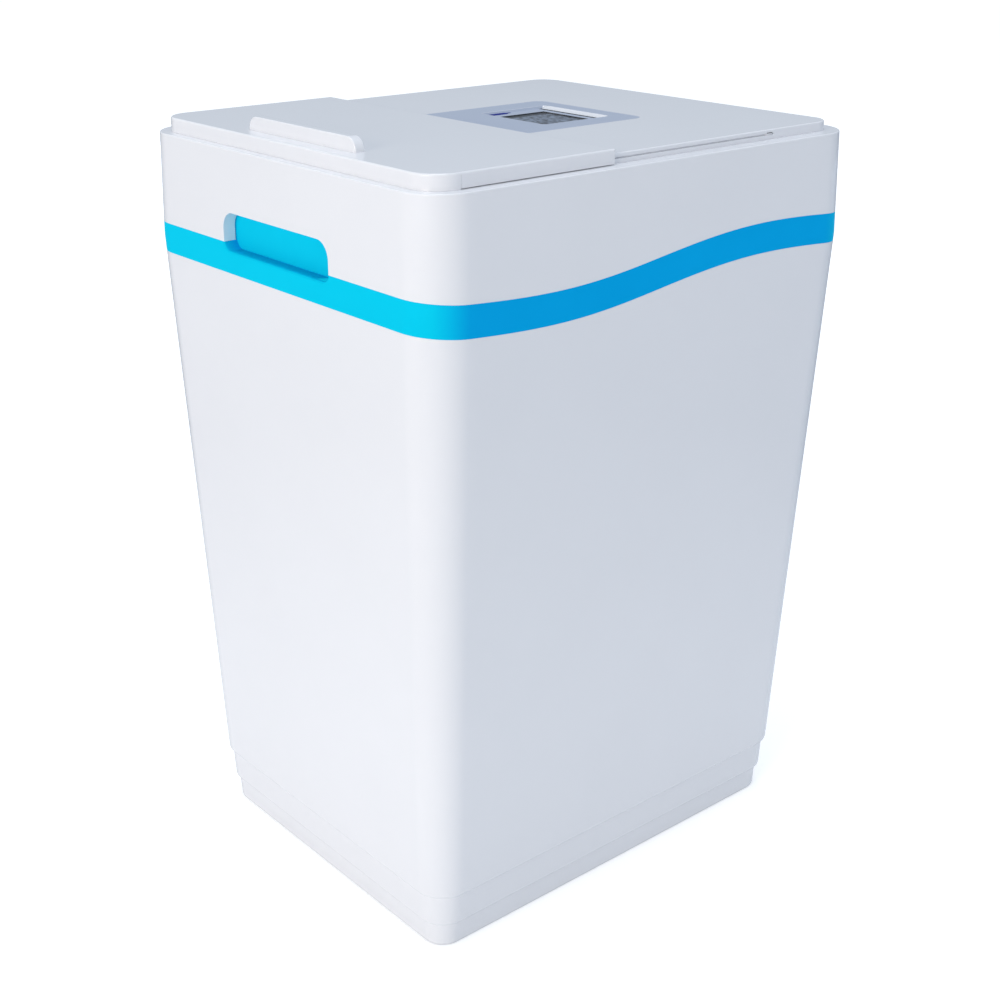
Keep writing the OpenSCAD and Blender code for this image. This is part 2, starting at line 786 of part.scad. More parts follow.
// Slotted platform that holds the salt above the brine
module salt_grid() {
  w = out_w(grid_z) - wall - grid_gap;
  d = out_d(grid_z) - wall - grid_gap;
  leg_r = 7;
  clear_r = vessel_r + 5;
  color("#cfd6dd") {
    translate([0, 0, grid_z]) linear_extrude(grid_t) difference() {
      intersection() {
        plan(w, d, base_r);
        translate([-far / 2, -far + vessel_y - clear_r / 2]) square(far);
      }
      translate([0, vessel_y]) circle(clear_r);
      translate([well_x, well_y]) circle(well_r + 2 * slip);
      for (i = [-4:4], j = [0:9]) {
        x = i * slot_pitch_x;
        y = -d + 18 + j * slot_pitch_y;
        off_vessel = norm([x, y - vessel_y]) > clear_r + slot_l;
        off_well = norm([x - well_x, y - well_y]) > well_r + slot_l / 2 + 6;
        if (off_vessel && off_well && abs(x) < w - slot_l)
          translate([x, y]) square([slot_l, slot_w], center = true);
      }
    }
    for (p = [[-0.8, -0.85], [0.8, -0.85], [0.1, -0.5], [0.8, -0.25], [0.1, -0.85]])
      translate([p[0] * w, p[1] * d, floor_z])
        cylinder(r1 = leg_r, r2 = leg_r - 1.5, h = grid_z - floor_z + skin);
  }
}

// Outline of the vessel, set in by its wall where asked
function vessel_profile(t) = concat(
  [for (a = [0:10:90]) [(vessel_r - t) * sin(a), vessel_low - (dome_h - t) * cos(a)]],
  [for (a = [0:10:90]) [neck_r - t + (vessel_r - neck_r) * cos(a), vessel_high + (dome_h - t) * sin(a)]]);

// Height of the vessel's lower dome at a radius
function dome_z(r) = vessel_low - dome_h * sqrt(1 - pow(r / vessel_r, 2));

// Round foot that the vessel's domed end sits in
module tank_boot() {
  r0 = vessel_r - 12;
  r1 = vessel_r - 6;
  color(dark) translate([0, vessel_y, 0]) difference() {
    union() {
      ring(r1, r0, floor_z, dome_z(r0) - slip - floor_z);
      ring(r1 + 4, r0, floor_z, 4);
    }
    for (a = [0:45:359]) rotate([0, 0, a]) translate([r0 - 5, -9, floor_z + 10]) cube([20, 18, 10]);
  }
}

module resin_tank() {
  color("#5b6f86") translate([0, vessel_y, 0]) rotate_extrude($fn = 96) difference() {
    polygon(concat(vessel_profile(0), [[neck_r, neck_top], [0, neck_top]]));
    polygon(concat(vessel_profile(vessel_t), [[neck_r - vessel_t, neck_top + cut], [0, neck_top + cut]]));
  }
}

module resin_bed() {
  t = vessel_t + slip;
  color("#b5893f") translate([0, vessel_y, 0]) difference() {
    rotate_extrude($fn = 96) intersection() {
      polygon(concat(vessel_profile(t), [[0, vessel_high + dome_h - t]]));
      square([vessel_r, floor_z + bed_h]);
    }
    cylinder(r = riser_r + slip, h = far);
    cylinder(r = strainer_r + slip, h = vessel_low + 20 + slip);
  }
}

module riser_tube() {
  color("#d9dde2") translate([0, vessel_y, 0])
    ring(riser_r, riser_r - 2, vessel_z + vessel_t + 10, neck_top + 18 - vessel_z - vessel_t - 10);
}

// Slotted basket on the foot of the riser
module bottom_strainer() {
  z0 = vessel_z + vessel_t + 5;
  h = vessel_low + 20 - z0;
  color("#e4e7ea") translate([0, vessel_y, 0]) difference() {
    translate([0, 0, z0]) cylinder(r = strainer_r, h = h);
    translate([0, 0, vessel_z + vessel_t + 10 - run]) cylinder(r = riser_r + run, h = far);
    for (i = [1:6], a = [30:60:359]) rotate([0, 0, a])
      translate([strainer_r - 5, -8, z0 + 8 + i * 6]) cube([10, 16, 1.5]);
  }
}

// Slotted basket in the neck, round the top of the riser
module top_strainer() {
  h = 34;
  r = neck_r - vessel_t - slip;
  color("#e4e7ea") translate([0, vessel_y, 0]) difference() {
    ring(r, riser_r + run, neck_top - h, h);
    for (i = [1:4], a = [0:60:359]) rotate([0, 0, a])
      translate([r - 4, -9, neck_top - h + i * 6]) cube([10, 18, 1.5]);
  }
}

module neck_seal() {
  bead = 1.9;
  color("#26282b") translate([0, vessel_y, neck_top + bead + 0.1])
    rotate_extrude() translate([neck_r - 4, 0]) circle(bead, $fn = 24);
}

// Moulded valve with its collar, rotor chamber, port block and spigots
module valve_body() {
  color("#2b2f35") difference() {
    union() {
      translate([0, vessel_y, 0]) {
        translate([0, 0, valve_z]) cylinder(r = collar_r, h = collar_h + 8);
        for (a = [0:30:359]) rotate([0, 0, a])
          translate([collar_r - 2, -3, valve_z]) cube([5, 6, collar_h]);
        translate([0, 0, valve_z]) cylinder(r = valve_r, h = valve_h);
      }
      translate([-block_w / 2, vessel_y + valve_r - 8, port_z - 18])
        cube([block_w, block_y1 - vessel_y - valve_r + 8, 34]);
      for (x = [-1, 1]) translate([x * port_x, 0, port_z]) {
        bar_y(port_d / 2, block_y1 - cut, tube_end);
        bar_y(flange_r, tube_end - flange_t, tube_end);
      }
      along_line() translate([0, 0, line_l - plug_r]) cylinder(r = tube_r + 6, h = 20);
    }
    translate([0, vessel_y, valve_z - cut]) cylinder(r = neck_r + slip, h = collar_h + cut);
    translate([0, vessel_y, neck_top - cut]) cylinder(r = neck_r - 1, h = 5);
    translate([0, vessel_y, neck_top]) cylinder(r = riser_r + slip, h = 20);
    translate([0, vessel_y, rotor_z]) cylinder(r = rotor_r + 2, h = far);
    for (x = [-1, 1]) translate([x * port_x, 0, port_z]) {
      bar_y(port_bore_d / 2, block_y1 - 8, tube_end + cut);
      bar_y(pin_r + run, block_y1 - 14, block_y1);
    }
    along_line() translate([0, 0, line_l - plug_r - cut]) cylinder(r = tube_r - 1, h = 20);
    translate([block_w / 2 + cut, drain_y, port_z]) rotate([0, -90, 0])
      cylinder(r = drain_d / 2 - 1.5, h = 15);
  }
}

// Places along the brine line, level, from the well towards the valve
module along_line() {
  translate([well_x, well_y, line_z]) rotate([0, 0, line_angle]) rotate([0, 90, 0]) children();
}

// Plate on the valve that holds the rotor's shaft and the motor
module valve_cap() {
  arm_x = valve_r / 2;
  color("#3b4148") translate([0, vessel_y, cap_z]) rotate([0, 0, motor_angle]) linear_extrude(cap_t)
  difference() {
    union() {
      circle(valve_r + 2);
      translate([arm_x, -motor_r]) square([motor_dist - arm_x, 2 * motor_r]);
      translate([motor_dist, 0]) circle(motor_r + 4);
    }
    circle(shaft_r + run);
    translate([motor_dist, 0]) circle(motor_shaft_r + 1);
  }
}

// Ported disc that the gear turns on the valve seat
module rotor_disc() {
  color("#e9e4d8") translate([0, vessel_y, rotor_z + run]) difference() {
    cylinder(r = rotor_r, h = rotor_t);
    for (a = [0:120:359]) rotate([0, 0, a]) translate([rotor_port_out, 0, -cut])
      cylinder(r = rotor_port_r, h = 7);
  }
}

// Drive gear with lightening holes, a hub and the rotor shaft
module drive_gear() {
  color("#e7e2cf") translate([0, vessel_y, 0]) rotate([0, 0, motor_angle]) {
    difference() {
      translate([0, 0, gear_z]) toothed(gear_teeth, gear_t);
      for (a = [30:60:359]) rotate([0, 0, a])
        translate([gear_r * 0.58, 0, gear_z - cut]) cylinder(r = gear_r * 0.22, h = far);
    }
    translate([0, 0, cap_z + cap_t + 2 * run])
      cylinder(r = shaft_r + 5, h = gear_z + gear_t + hub_rise - cap_z - cap_t - 2 * run);
    translate([0, 0, rotor_z + run + rotor_t]) cylinder(r = shaft_r, h = gear_z - rotor_z - rotor_t);
  }
}

// Round geared motor under the valve's cap
module drive_motor() {
  color("#9aa0a6") translate([motor_x, motor_y, cap_z - motor_h]) difference() {
    union() {
      cylinder(r = motor_r, h = motor_h);
      translate([0, 0, -6]) cylinder(r = motor_r * 0.45, h = 7);
    }
    translate([0, 0, motor_h - 20]) cylinder(r = motor_shaft_r + run, h = far);
  }
}

// Pinion on the motor's shaft
module motor_pinion() {
  turn = motor_angle + 180 + 180 / pinion_teeth;
  color("#c9a24a") translate([motor_x, motor_y, 0]) rotate([0, 0, turn]) {
    translate([0, 0, gear_z]) toothed(pinion_teeth, gear_t);
    translate([0, 0, cap_z - 20 + run])
      cylinder(r = motor_shaft_r, h = gear_z + gear_t - cap_z + 20 - run);
    translate([0, 0, cap_z + cap_t + 2 * run]) cylinder(r = pinion_r * 0.6, h = gear_z - cap_z - cap_t);
  }
}

// Nut that holds the brine line in the valve's injector
module injector_plug() {
  color(dark) along_line() translate([0, 0, line_l - plug_r - plug_l]) difference() {
    cylinder(r = tube_r + 7, h = plug_l, $fn = 6);
    translate([0, 0, -cut]) cylinder(r = tube_r + run, h = plug_l + 2 * cut);
  }
}

// Bladed wheel of the flow meter in the outlet port
module flow_turbine() {
  color("#2f6fd0") translate([port_x, 0, port_z]) {
    bar_y(3, turbine_y, turbine_y + turbine_l);
    bar_y(pin_r, block_y1 - 13, tube_end + spider_t - 0.5);
    for (a = [0:60:359]) rotate([0, a, 0])
      translate([-0.6, turbine_y, 0]) cube([1.2, turbine_l, turbine_r]);
  }
}

// Threaded port tail with its flange
module adapter(x, spider) {
  color("#3b4148") translate([x, 0, port_z]) {
    difference() {
      union() {
        bar_y(port_d / 2, tube_end, port_end);
        bar_y(flange_r, tube_end, tube_end + flange_t);
      }
      bar_y(port_bore_d / 2, tube_end - cut, port_end + cut);
    }
    if (spider) difference() {
      for (a = [0, 90]) rotate([0, a, 0])
        translate([-1.2, tube_end, -port_bore_d / 2 - 0.5]) cube([2.4, spider_t, port_bore_d + 1]);
      bar_y(pin_r + run, tube_end - cut, tube_end + spider_t + cut);
    }
  }
}

module inlet_adapter() {
  adapter(-port_x, false);
}

module outlet_adapter() {
  adapter(port_x, true);
}

// Spring clips that hold the adapters' flanges on the valve
module adapter_clips() {
  clip_t = 2;
  reach = flange_t + slip + clip_t;
  color("#d6452f") for (x = [-1, 1]) translate([x * port_x, tube_end, port_z]) rotate([90, 0, 0])
    rotate([0, 0, 115]) rotate_extrude(angle = 310) translate([flange_r + slip, 0]) {
      translate([0, -reach]) square([clip_t, 2 * reach]);
      for (y = [-reach, reach - clip_t]) translate([-2.6, y]) square([3, clip_t]);
    }
}

// Hose elbow for the drain, from the port block to the back
module drain_elbow() {
  r = drain_d / 2;
  bend = 12;
  x0 = block_w / 2;
  color(dark) difference() {
    union() {
      translate([x0, drain_y, port_z]) rotate([0, 90, 0]) cylinder(r = r + 3, h = 4);
      translate([x0, drain_y, port_z]) rotate([0, 90, 0]) cylinder(r = r, h = drain_x - x0 - bend);
      translate([drain_x - bend, drain_y + bend, port_z]) rotate([0, 0, -90])
        rotate_extrude(angle = 90) translate([bend, 0]) circle(r);
      translate([drain_x, 0, port_z]) bar_y(r, drain_y + bend, port_end);
    }
    translate([drain_x, 0, port_z]) bar_y(r - 2, drain_y + bend + 6, port_end + cut);
  }
}

// Slotted tube that keeps salt away from the float
module brine_well() {
  well_t = 2.5;
  color("#dfe3e8") translate([well_x, well_y, 0]) difference() {
    ring(well_r, well_r - well_t, floor_z, well_top_z - floor_z);
    for (i = [0:5], a = [0:60:359]) rotate([0, 0, a])
      translate([well_r - 6, -10, floor_z + 12 + i * 9]) cube([10, 20, 3]);
  }
}

module brine_well_cap() {
  well_t = 2.5;
  lip_h = 8;
  color("#dfe3e8") translate([well_x, well_y, 0]) difference() {
    union() {
      translate([0, 0, well_top_z]) cylinder(r = well_r + 2, h = 3);
      ring(well_r - well_t - slip, well_r - 2 * well_t - slip, well_top_z - lip_h, lip_h + skin);
      translate([0, 0, well_top_z]) cylinder(r = tube_r + 4, h = 6);
    }
    translate([0, 0, well_top_z - cut]) cylinder(r = tube_r + slip, h = 10);
  }
}

module float() {
  color("#e8832a") translate([well_x, well_y, float_z]) difference() {
    union() {
      translate([0, 0, 4]) cylinder(r = float_r, h = float_h - 8);
      cylinder(r1 = float_r - 4, r2 = float_r, h = 4 + skin);
      translate([0, 0, float_h - 4 - skin]) cylinder(r1 = float_r, r2 = float_r - 4, h = 4 + skin);
    }
    translate([0, 0, -cut]) cylinder(r = tube_r + slip + run, h = float_h + 2 * cut);
  }
}

// Collars on the pick-up tube that limit the float
module float_stops() {
  collar = 6;
  color(dark) translate([well_x, well_y, 0]) {
    ring(tube_r + 5, tube_r + run, float_z - collar - slip, collar);
    ring(tube_r + 5, tube_r + run, float_z + float_h + float_travel + slip, collar);
  }
}

module pickup_tube() {
  color("#f2f4f6") translate([well_x, well_y, 0])
    ring(tube_r, tube_r - 1.2, pickup_z, line_z - elbow_seat - pickup_z);
}

// Slotted foot with the air check ball's chamber
module air_check() {
  color(dark) translate([well_x, well_y, 0]) difference() {
    union() {
      translate([0, 0, floor_z]) cylinder(r = tube_r + 10, h = 24);
      translate([0, 0, floor_z + 24 - skin]) cylinder(r1 = tube_r + 10, r2 = tube_r + 4, h = 12);
    }
    translate([0, 0, floor_z + 22 - run]) cylinder(r = tube_r + run, h = far);
    translate([0, 0, floor_z + 6]) cylinder(r = tube_r + 7, h = 12);
    for (a = [0:60:359]) rotate([0, 0, a]) translate([tube_r + 4, -2, floor_z + 6]) cube([10, 4, 12]);
  }
}

// Push-in elbow that joins the pick-up tube to the brine line above the well
module brine_elbow() {
  body_r = tube_r + 4;
  color(dark) difference() {
    union() {
      translate([well_x, well_y, line_z]) sphere(body_r);
      translate([well_x, well_y, line_z - elbow_l]) cylinder(r = body_r - 1.5, h = elbow_l);
      along_line() cylinder(r = body_r - 1.5, h = elbow_l);
    }
    translate([well_x, well_y, line_z - elbow_l - cut])
      cylinder(r = tube_r + run, h = elbow_l + cut - elbow_seat);
    along_line() translate([0, 0, elbow_seat]) cylinder(r = tube_r + run, h = elbow_l);
  }
}

// Straight brine line from the elbow to the valve
module brine_line() {
  color("#f2f4f6") along_line() ring(tube_r, tube_r - 1.2, elbow_seat, line_l - plug_r - elbow_seat);
}

// Overflow elbow through the tank's back wall, pointing down outside
module overflow_elbow() {
  face = out_d(overflow_z);
  y1 = face + 8;
  spigot_l = 24;
  color(dark) translate([overflow_x, 0, overflow_z]) difference() {
    union() {
      bar_y(overflow_flange_r, face - wall - 5, face - wall - overflow_gap);
      bar_y(overflow_r, face - wall - 5, y1);
      translate([0, y1, -overflow_bend]) rotate([0, 0, 90]) rotate([90, 0, 0])
        rotate_extrude(angle = 90) translate([overflow_bend, 0]) circle(overflow_r);
      translate([0, y1 + overflow_bend, -overflow_bend - spigot_l]) cylinder(r = overflow_r, h = spigot_l);
    }
    bar_y(overflow_r - 2.5, face - wall - 6, y1 - 4);
    translate([0, y1 + overflow_bend, -overflow_bend - spigot_l - cut])
      cylinder(r = overflow_r - 2.5, h = spigot_l);
  }
}

module overflow_nut() {
  face = out_d(overflow_z);
  color(dark) translate([overflow_x, face + overflow_gap, overflow_z]) rotate([-90, 0, 0])
  difference() {
    cylinder(r = overflow_flange_r, h = 6, $fn = 6);
    translate([0, 0, -cut]) cylinder(r = overflow_r + run, h = 6 + 2 * cut);
  }
}

// Low-voltage socket in the casing's back
module power_socket() {
  face = out_d(socket_z);
  color("#202327") translate([socket_x, 0, socket_z]) difference() {
    union() {
      bar_y(socket_r, face - socket_l, face + 1);
      bar_y(socket_r + 3, face + slip, face + 2);
    }
    bar_y(jack_r, face - jack_l, face + 3);
  }
}

// Screws that hold the casing to the tank's tongue, from the back
module case_screws() {
  face = out_d(screw_z);
  color("#b9bec4") for (x = screw_xs) translate([x, 0, screw_z]) {
    bar_y(screw_r, face - screw_l, face + 1);
    bar_y(screw_head_r, face + slip, face + 2.4);
  }
}

// Screws through the deck, the casing and the baffle, hidden under the hatch
module deck_screws() {
  color("#b9bec4") for (x = [-1, 1]) translate([x * deck_screw_x, deck_screw_y, 0]) {
    translate([0, 0, rim_z - screw_l]) cylinder(r = deck_screw_r, h = deck_rise + screw_l - 2 + skin);
    translate([0, 0, deck_z - 2]) cylinder(r = screw_head_r - 0.5, h = 1.8);
  }
}

salt_tank();
trim_band();
top_casing();
service_deck();
salt_lid();
track_stops();
label_plate();
display_bezel();
display_lens();
lcd_panel();
status_light();
control_board();
salt_baffle();
salt_grid();
tank_boot();
resin_tank();
resin_bed();
riser_tube();
bottom_strainer();
top_strainer();
neck_seal();
valve_body();
valve_cap();
rotor_disc();
drive_gear();
drive_motor();
motor_pinion();
injector_plug();
flow_turbine();
inlet_adapter();
outlet_adapter();
adapter_clips();
drain_elbow();
brine_well();
brine_well_cap();
float();
float_stops();
pickup_tube();
air_check();
brine_elbow();
brine_line();
overflow_elbow();
overflow_nut();
power_socket();
case_screws();
deck_screws();
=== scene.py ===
"""Cabinet water softener: finished mouldings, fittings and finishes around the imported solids.

Lengths are in millimetres until a mesh is made, and the frame is the part's own: front -Y, up +Z.
"""
import json
import math

import bmesh
import bpy
import numpy as np
from mathutils import Matrix, Vector


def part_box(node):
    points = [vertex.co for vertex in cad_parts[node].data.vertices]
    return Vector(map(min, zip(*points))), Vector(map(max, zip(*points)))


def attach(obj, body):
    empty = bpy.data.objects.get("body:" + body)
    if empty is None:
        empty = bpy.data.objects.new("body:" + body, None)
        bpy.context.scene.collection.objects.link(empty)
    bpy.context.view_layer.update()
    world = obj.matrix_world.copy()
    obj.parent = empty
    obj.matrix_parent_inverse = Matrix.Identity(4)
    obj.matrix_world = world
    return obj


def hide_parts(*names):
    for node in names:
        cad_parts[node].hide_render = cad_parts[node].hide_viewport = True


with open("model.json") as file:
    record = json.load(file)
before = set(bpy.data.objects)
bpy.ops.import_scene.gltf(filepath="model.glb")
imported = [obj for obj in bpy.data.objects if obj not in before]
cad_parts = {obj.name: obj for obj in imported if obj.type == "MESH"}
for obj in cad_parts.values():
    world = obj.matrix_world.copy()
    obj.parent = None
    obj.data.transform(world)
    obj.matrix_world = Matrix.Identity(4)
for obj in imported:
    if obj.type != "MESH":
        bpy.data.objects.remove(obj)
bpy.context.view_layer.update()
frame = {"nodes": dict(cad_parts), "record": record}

MM = 0.001

# Cutting tools end past the cabinet's sides, above it and below its top
PAST, ABOVE, BELOW = 400.0, 700.0, 500.0
# Radius of a corner that looks sharp
SHARP = 0.1
# Cabinet
HALF_W, HALF_D, CORNER_R, BASE_R = 180.0, 210.5, 32.0, 25.0
WAIST_Z, RIM_Z, RIM_EDGE, WALL = 512.0, 591.0, 1.0, 3.0
DRAFT_X, DRAFT_Y, CASING_DRAFT = 22.0, 15.0, 1.7
STEP_HIGH, STEP_LOW, STEP_IN = 50.0, 22.0, 3.0
STEP_EDGE, STEP_EDGE_H, SHELF_H, SHELF_OUT = 1.4, 3.0, 0.5, 0.3
FLOOR_Z, FOOT_H, FOOT_W, FOOT_LIFT = 7.0, 3.0, 14.0, 0.4
TONGUE_W, TONGUE_D, TONGUE_R, TONGUE_T = 175.8, 206.3, 29.0, 2.4
TONGUE_LOW, TONGUE_TOP, TONGUE_EDGE = 470.0, 545.0, 0.6
NOTCH_W, NOTCH_DROP, PORT_DROP = 75.5, 7.5, 5.0
# Trim band
BAND_H, BAND_WAVE, BAND_MID = 22.9, 8.6, 524.45
WAVE_FRONT, WAVE_BACK, WAVE_STEEP = 232.0, 243.0, 0.1
SEAM = 0.2
# Finger grip
GRIP_W, GRIP_Z0, GRIP_Z1, GRIP_BACK = 67.25, 516.35, 545.15, -199.1
GRIP_WALL, GRIP_R_TOP, GRIP_R_LOW, GRIP_SKIN = 2.5, 13.0, 7.5, 1.5
BAND_LIP, CASING_LIP, MOUTH_IN = 0.9, 0.4, 0.35
BAND_FRONT = 522.45
# Hatch and deck
HATCH_W, HATCH_Y0, HATCH_Y1, HATCH_R = 168.3, -199.8, -41.0, 22.0
HATCH_LOW, HATCH_UNDER, HATCH_TOP, HATCH_EDGE, SKIRT = 591.02, 598.6, 601.8, 1.5, 2.4
SILL_Z = 591.5
TAB_X, TAB_W, TAB_Y0, TAB_T, TAB_H, TAB_R, TAB_EDGE = 2.5, 66.0, -185.4, 8.0, 10.0, 9.5, 0.9
DECK_W, DECK_Y0, DECK_Y1, DECK_R, DECK_Z = 165.4, -56.3, 196.2, 18.0, 598.2
DECK_EDGE, DECK_SIDE, DECK_T = 1.1, 5.0, 2.5
TRACK_X, TRACK_Z0, TRACK_Z1, TRACK_END = 164.0, 594.2, 595.3, 125.5
SALT_MOUTH, SALT_R, SALT_LIP, SALT_LIP_H = (-148.3, 148.3, -187.8, -62.3), 12.0, 2.0, 12.0
SERVICE_MOUTH = (-140.4, 140.4, -34.3, 180.2)
LABEL, LABEL_R, LABEL_T = (-58.5, 63.5, -53.6, 93.5), 10.0, 0.6
# Display
WINDOW, WINDOW_R = (-35.0, 41.0, 9.0, 78.0), 4.0
LEDGE, LEDGE_Z = (-33.5, 39.5, 11.0, 73.0), 596.2
SCREEN, LENS_TOP = (-20.0, 37.0, 14.0, 63.0), 595.6
LIGHT, LIGHT_R = (-32.9, -30.3, 17.5, 37.5), 0.3
LIGHT_CAP = (-33.4, -27.8, 13.4, 32.4)
FRAME_LOW, FRAME_FLANGE, BOARD_TOP, POST_R = 593.2, 5.0, 583.6, 3.0
# Back
PORT_X, PORT_Z, PORT_R, BORE_R = 38.0, 550.0, 13.2, 9.0
PORT_Y0, PORT_Y1, FLANGE_R = 165.8, 199.8, 17.0
THREAD_PITCH, THREAD_DEPTH = 1.814, 1.1
PORT_CUT, PORT_CUT_R, PORT_CUT_LIP = (-93.0, 93.0, 530.0, 574.0), 8.0, 1.2
SOCKET = (-125.0, 558.0, 5.8)
OVERFLOW = (-110.0, 420.0, 9.3)
OVERFLOW_R, OVERFLOW_TIP = 9.0, (-110.0, 229.5, 382.0)
DRAIN_R, DRAIN_TIP = 6.35, (80.0, 199.8, 550.0)
# Hose barbs: count and pitch
OVERFLOW_BARBS, DRAIN_BARBS = (3, 5.5), (4, 4.2)
NUT_R, NUT_H = 14.0, 6.0
# Screws: places, then the head's radius and height, the shank's radius and its reach
CASE_SCREWS = [(x, 209.94, 538.0) for x in (-138.0, -103.0, 103.0, 138.0)]
DECK_SCREWS = [(x, -49.8, 596.2) for x in (-130.4, 130.4)]
CASE_SCREW, DECK_SCREW = (4.0, 2.4, 2.0, 12.0), (3.5, 1.8, 1.6, 17.2)


# ---- meshes -------------------------------------------------------------------------------------

def solid(name, rings, wrap=False):
    """Closed skin over rings of points in mm. The end rings are capped, or joined where wrap is set."""
    count, size = len(rings), len(rings[0])
    points = [[c * MM for c in p] for ring in rings for p in ring]
    faces = []
    for i in range(count if wrap else count - 1):
        a, b = i * size, (i + 1) % count * size
        faces += [(a + j, a + (j + 1) % size, b + (j + 1) % size, b + j) for j in range(size)]
    if not wrap:
        faces += [tuple(range(size))[::-1], tuple(range((count - 1) * size, count * size))]
    mesh = bpy.data.meshes.new(name)
    mesh.from_pydata(points, [], faces)
    bm = bmesh.new()
    bm.from_mesh(mesh)
    bmesh.ops.recalc_face_normals(bm, faces=bm.faces)
    bm.to_mesh(mesh)
    bm.free()
    obj = bpy.data.objects.new(name, mesh)
    bpy.context.scene.collection.objects.link(obj)
    return obj


def combine(target, tool, how="DIFFERENCE"):
    """Cuts the tool out of the target, or joins them, and removes the tool."""
    step = target.modifiers.new("step", "BOOLEAN")
    step.operation, step.solver, step.object = how, "MANIFOLD", tool
    graph = bpy.context.evaluated_depsgraph_get()
    made = bpy.data.meshes.new_from_object(target.evaluated_get(graph))
    target.modifiers.remove(step)
    target.data = made
    bpy.data.objects.remove(tool)
    return target


def outline(x0, x1, y0, y1, radii, inset=0.0, turns=12):
    """Rounded rectangle, counter-clockwise from the lower right corner.

    radii are the corners' in that order: lower right, upper right, upper left, lower left."""
    x0, x1, y0, y1 = x0 + inset, x1 - inset, y0 + inset, y1 - inset
    corners = [(x1, y0, -90), (x1, y1, 0), (x0, y1, 90), (x0, y0, 180)]
    points = []
    for (cx, cy, start), radius in zip(corners, radii):
        r = max(radius - inset, SHARP / 2)
        ox = cx - math.copysign(r, cx - (x0 + x1) / 2)
        oy = cy - math.copysign(r, cy - (y0 + y1) / 2)
        for i in range(turns + 1):
            a = math.radians(start + 90 * i / turns)
            points.append((ox + r * math.cos(a), oy + r * math.sin(a)))
    return points


def level(shape, z):
    """Ring of an X-Y outline at a height."""
    return [(x, y, z) for x, y in shape]


def facing(shape, y):
    """Ring of an X-Z outline at a depth."""
    return [(x, y, z) for x, z in shape]


def upright(name, shape, z0, z1):
    """Straight prism of an X-Y outline."""
    return solid(name, [level(shape, z) for z in (z0, z1)])


def across(name, shape, y0, y1):
    """Straight prism of an X-Z outline."""
    return solid(name, [facing(shape, y) for y in (y0, y1)])


def block(name, x0, x1, y0, y1, z0, z1):
    return upright(name, [(x1, y0), (x1, y1), (x0, y1), (x0, y0)], z0, z1)


def disc(cx, cy, r, count=48):
    turn = 2 * math.pi / count
    return [(cx + r * math.cos(i * turn), cy + r * math.sin(i * turn)) for i in range(count)]


def turned(name, profile, place, axis, count=48, wrap=False):
    """Turned piece from (radius, height) pairs along an axis that starts at a place."""
    turn = Vector((0, 0, 1)).rotation_difference(Vector(axis)).to_matrix()
    base = Vector(place)
    rings = [[base + turn @ Vector((x, y, h)) for x, y in disc(0, 0, r, count)] for r, h in profile]
    return solid(name, rings, wrap)


def quarter(r, steps=5):
    """Quarter round as (inset, rise) pairs, from an upright wall over to the level."""
    turn = [math.pi / 2 * k / steps for k in range(steps + 1)]
    return [(r * (1 - math.cos(a)), r * math.sin(a)) for a in turn]


def shade(obj, angle=32.0):
    """Smooth shading that keeps flats flat and creases sharp."""
    bm = bmesh.new()
    bm.from_mesh(obj.data)
    bmesh.ops.remove_doubles(bm, verts=bm.verts, dist=2e-6)
    bmesh.ops.dissolve_degenerate(bm, edges=bm.edges, dist=1e-6)
    for face in bm.faces:
        face.smooth = True
    for edge in bm.edges:
        edge.smooth = len(edge.link_faces) == 2 and edge.calc_face_angle() < math.radians(angle)
    bm.to_mesh(obj.data)
    bm.free()
    weigh = obj.modifiers.new("weighted normals", "WEIGHTED_NORMAL")
    weigh.keep_sharp = True
    weigh.weight = 60


# ---- cabinet form -------------------------------------------------------------------------------

def round_cabinet(corner=12, wide=18, deep=44):
    """Places round the cabinet: share of each half side, and the corner's direction there."""
    places = []
    for k, (sx, sy) in enumerate(((1, -1), (1, 1), (-1, 1), (-1, -1))):
        for i in range(corner + 1):
            a = math.radians(-90 + 90 * k + 90 * i / corner)
            places.append((sx, sy, math.cos(a), math.sin(a)))
        steps = (deep, wide)[k % 2]
        nx, ny = ((1, 1), (-1, 1), (-1, -1), (1, -1))[k]
        a = math.radians(90 * k)
        for i in range(1, steps):
            t = i / steps
            places.append((sx + (nx - sx) * t, sy + (ny - sy) * t, math.cos(a), math.sin(a)))
    return np.array(places).T


UX, UY, CA, SA = round_cabinet()


def band_line(y):
    """Level of the band's upper edge at a place along the side."""
    turn = math.pi * y / np.where(y < 0, WAVE_FRONT, WAVE_BACK)
    return BAND_MID + BAND_WAVE * (np.sin(turn) + WAVE_STEEP * np.sin(2 * turn))


def straight_ring(w, d, r, z):
    """Ring of a half width, half depth and corner radius, at a level or at a level for each place."""
    z = np.broadcast_to(np.asarray(z, float), UX.shape)
    return np.stack([UX * (w - r) + r * CA, UY * (d - r) + r * SA, z], 1)


def cabinet_ring(z, inset):
    """Ring round the tapered cabinet, set in."""
    z = np.broadcast_to(np.asarray(z, float), UX.shape)
    low = np.maximum(0, (WAIST_Z - z) / (WAIST_Z - STEP_HIGH))
    high = np.maximum(0, (z - WAIST_Z) / (RIM_Z - WAIST_Z))
    w = HALF_W - DRAFT_X * low - CASING_DRAFT * high - inset
    d = HALF_D - DRAFT_Y * low - CASING_DRAFT * high - inset
    r = np.maximum(CORNER_R - (CORNER_R - BASE_R) * low - inset, 2)
    return straight_ring(w, d, r, z)


def wave_level(shift):
    """Levels of the band's upper edge round the cabinet, moved up or down."""
    z = np.full(UX.shape, BAND_MID)
    for _ in range(4):
        z = band_line(cabinet_ring(z, 0)[:, 1]) + shift
    return z


def wave_ring(shift, inset):
    """Ring that follows the band's upper edge, moved up or down."""
    return cabinet_ring(wave_level(shift), inset)


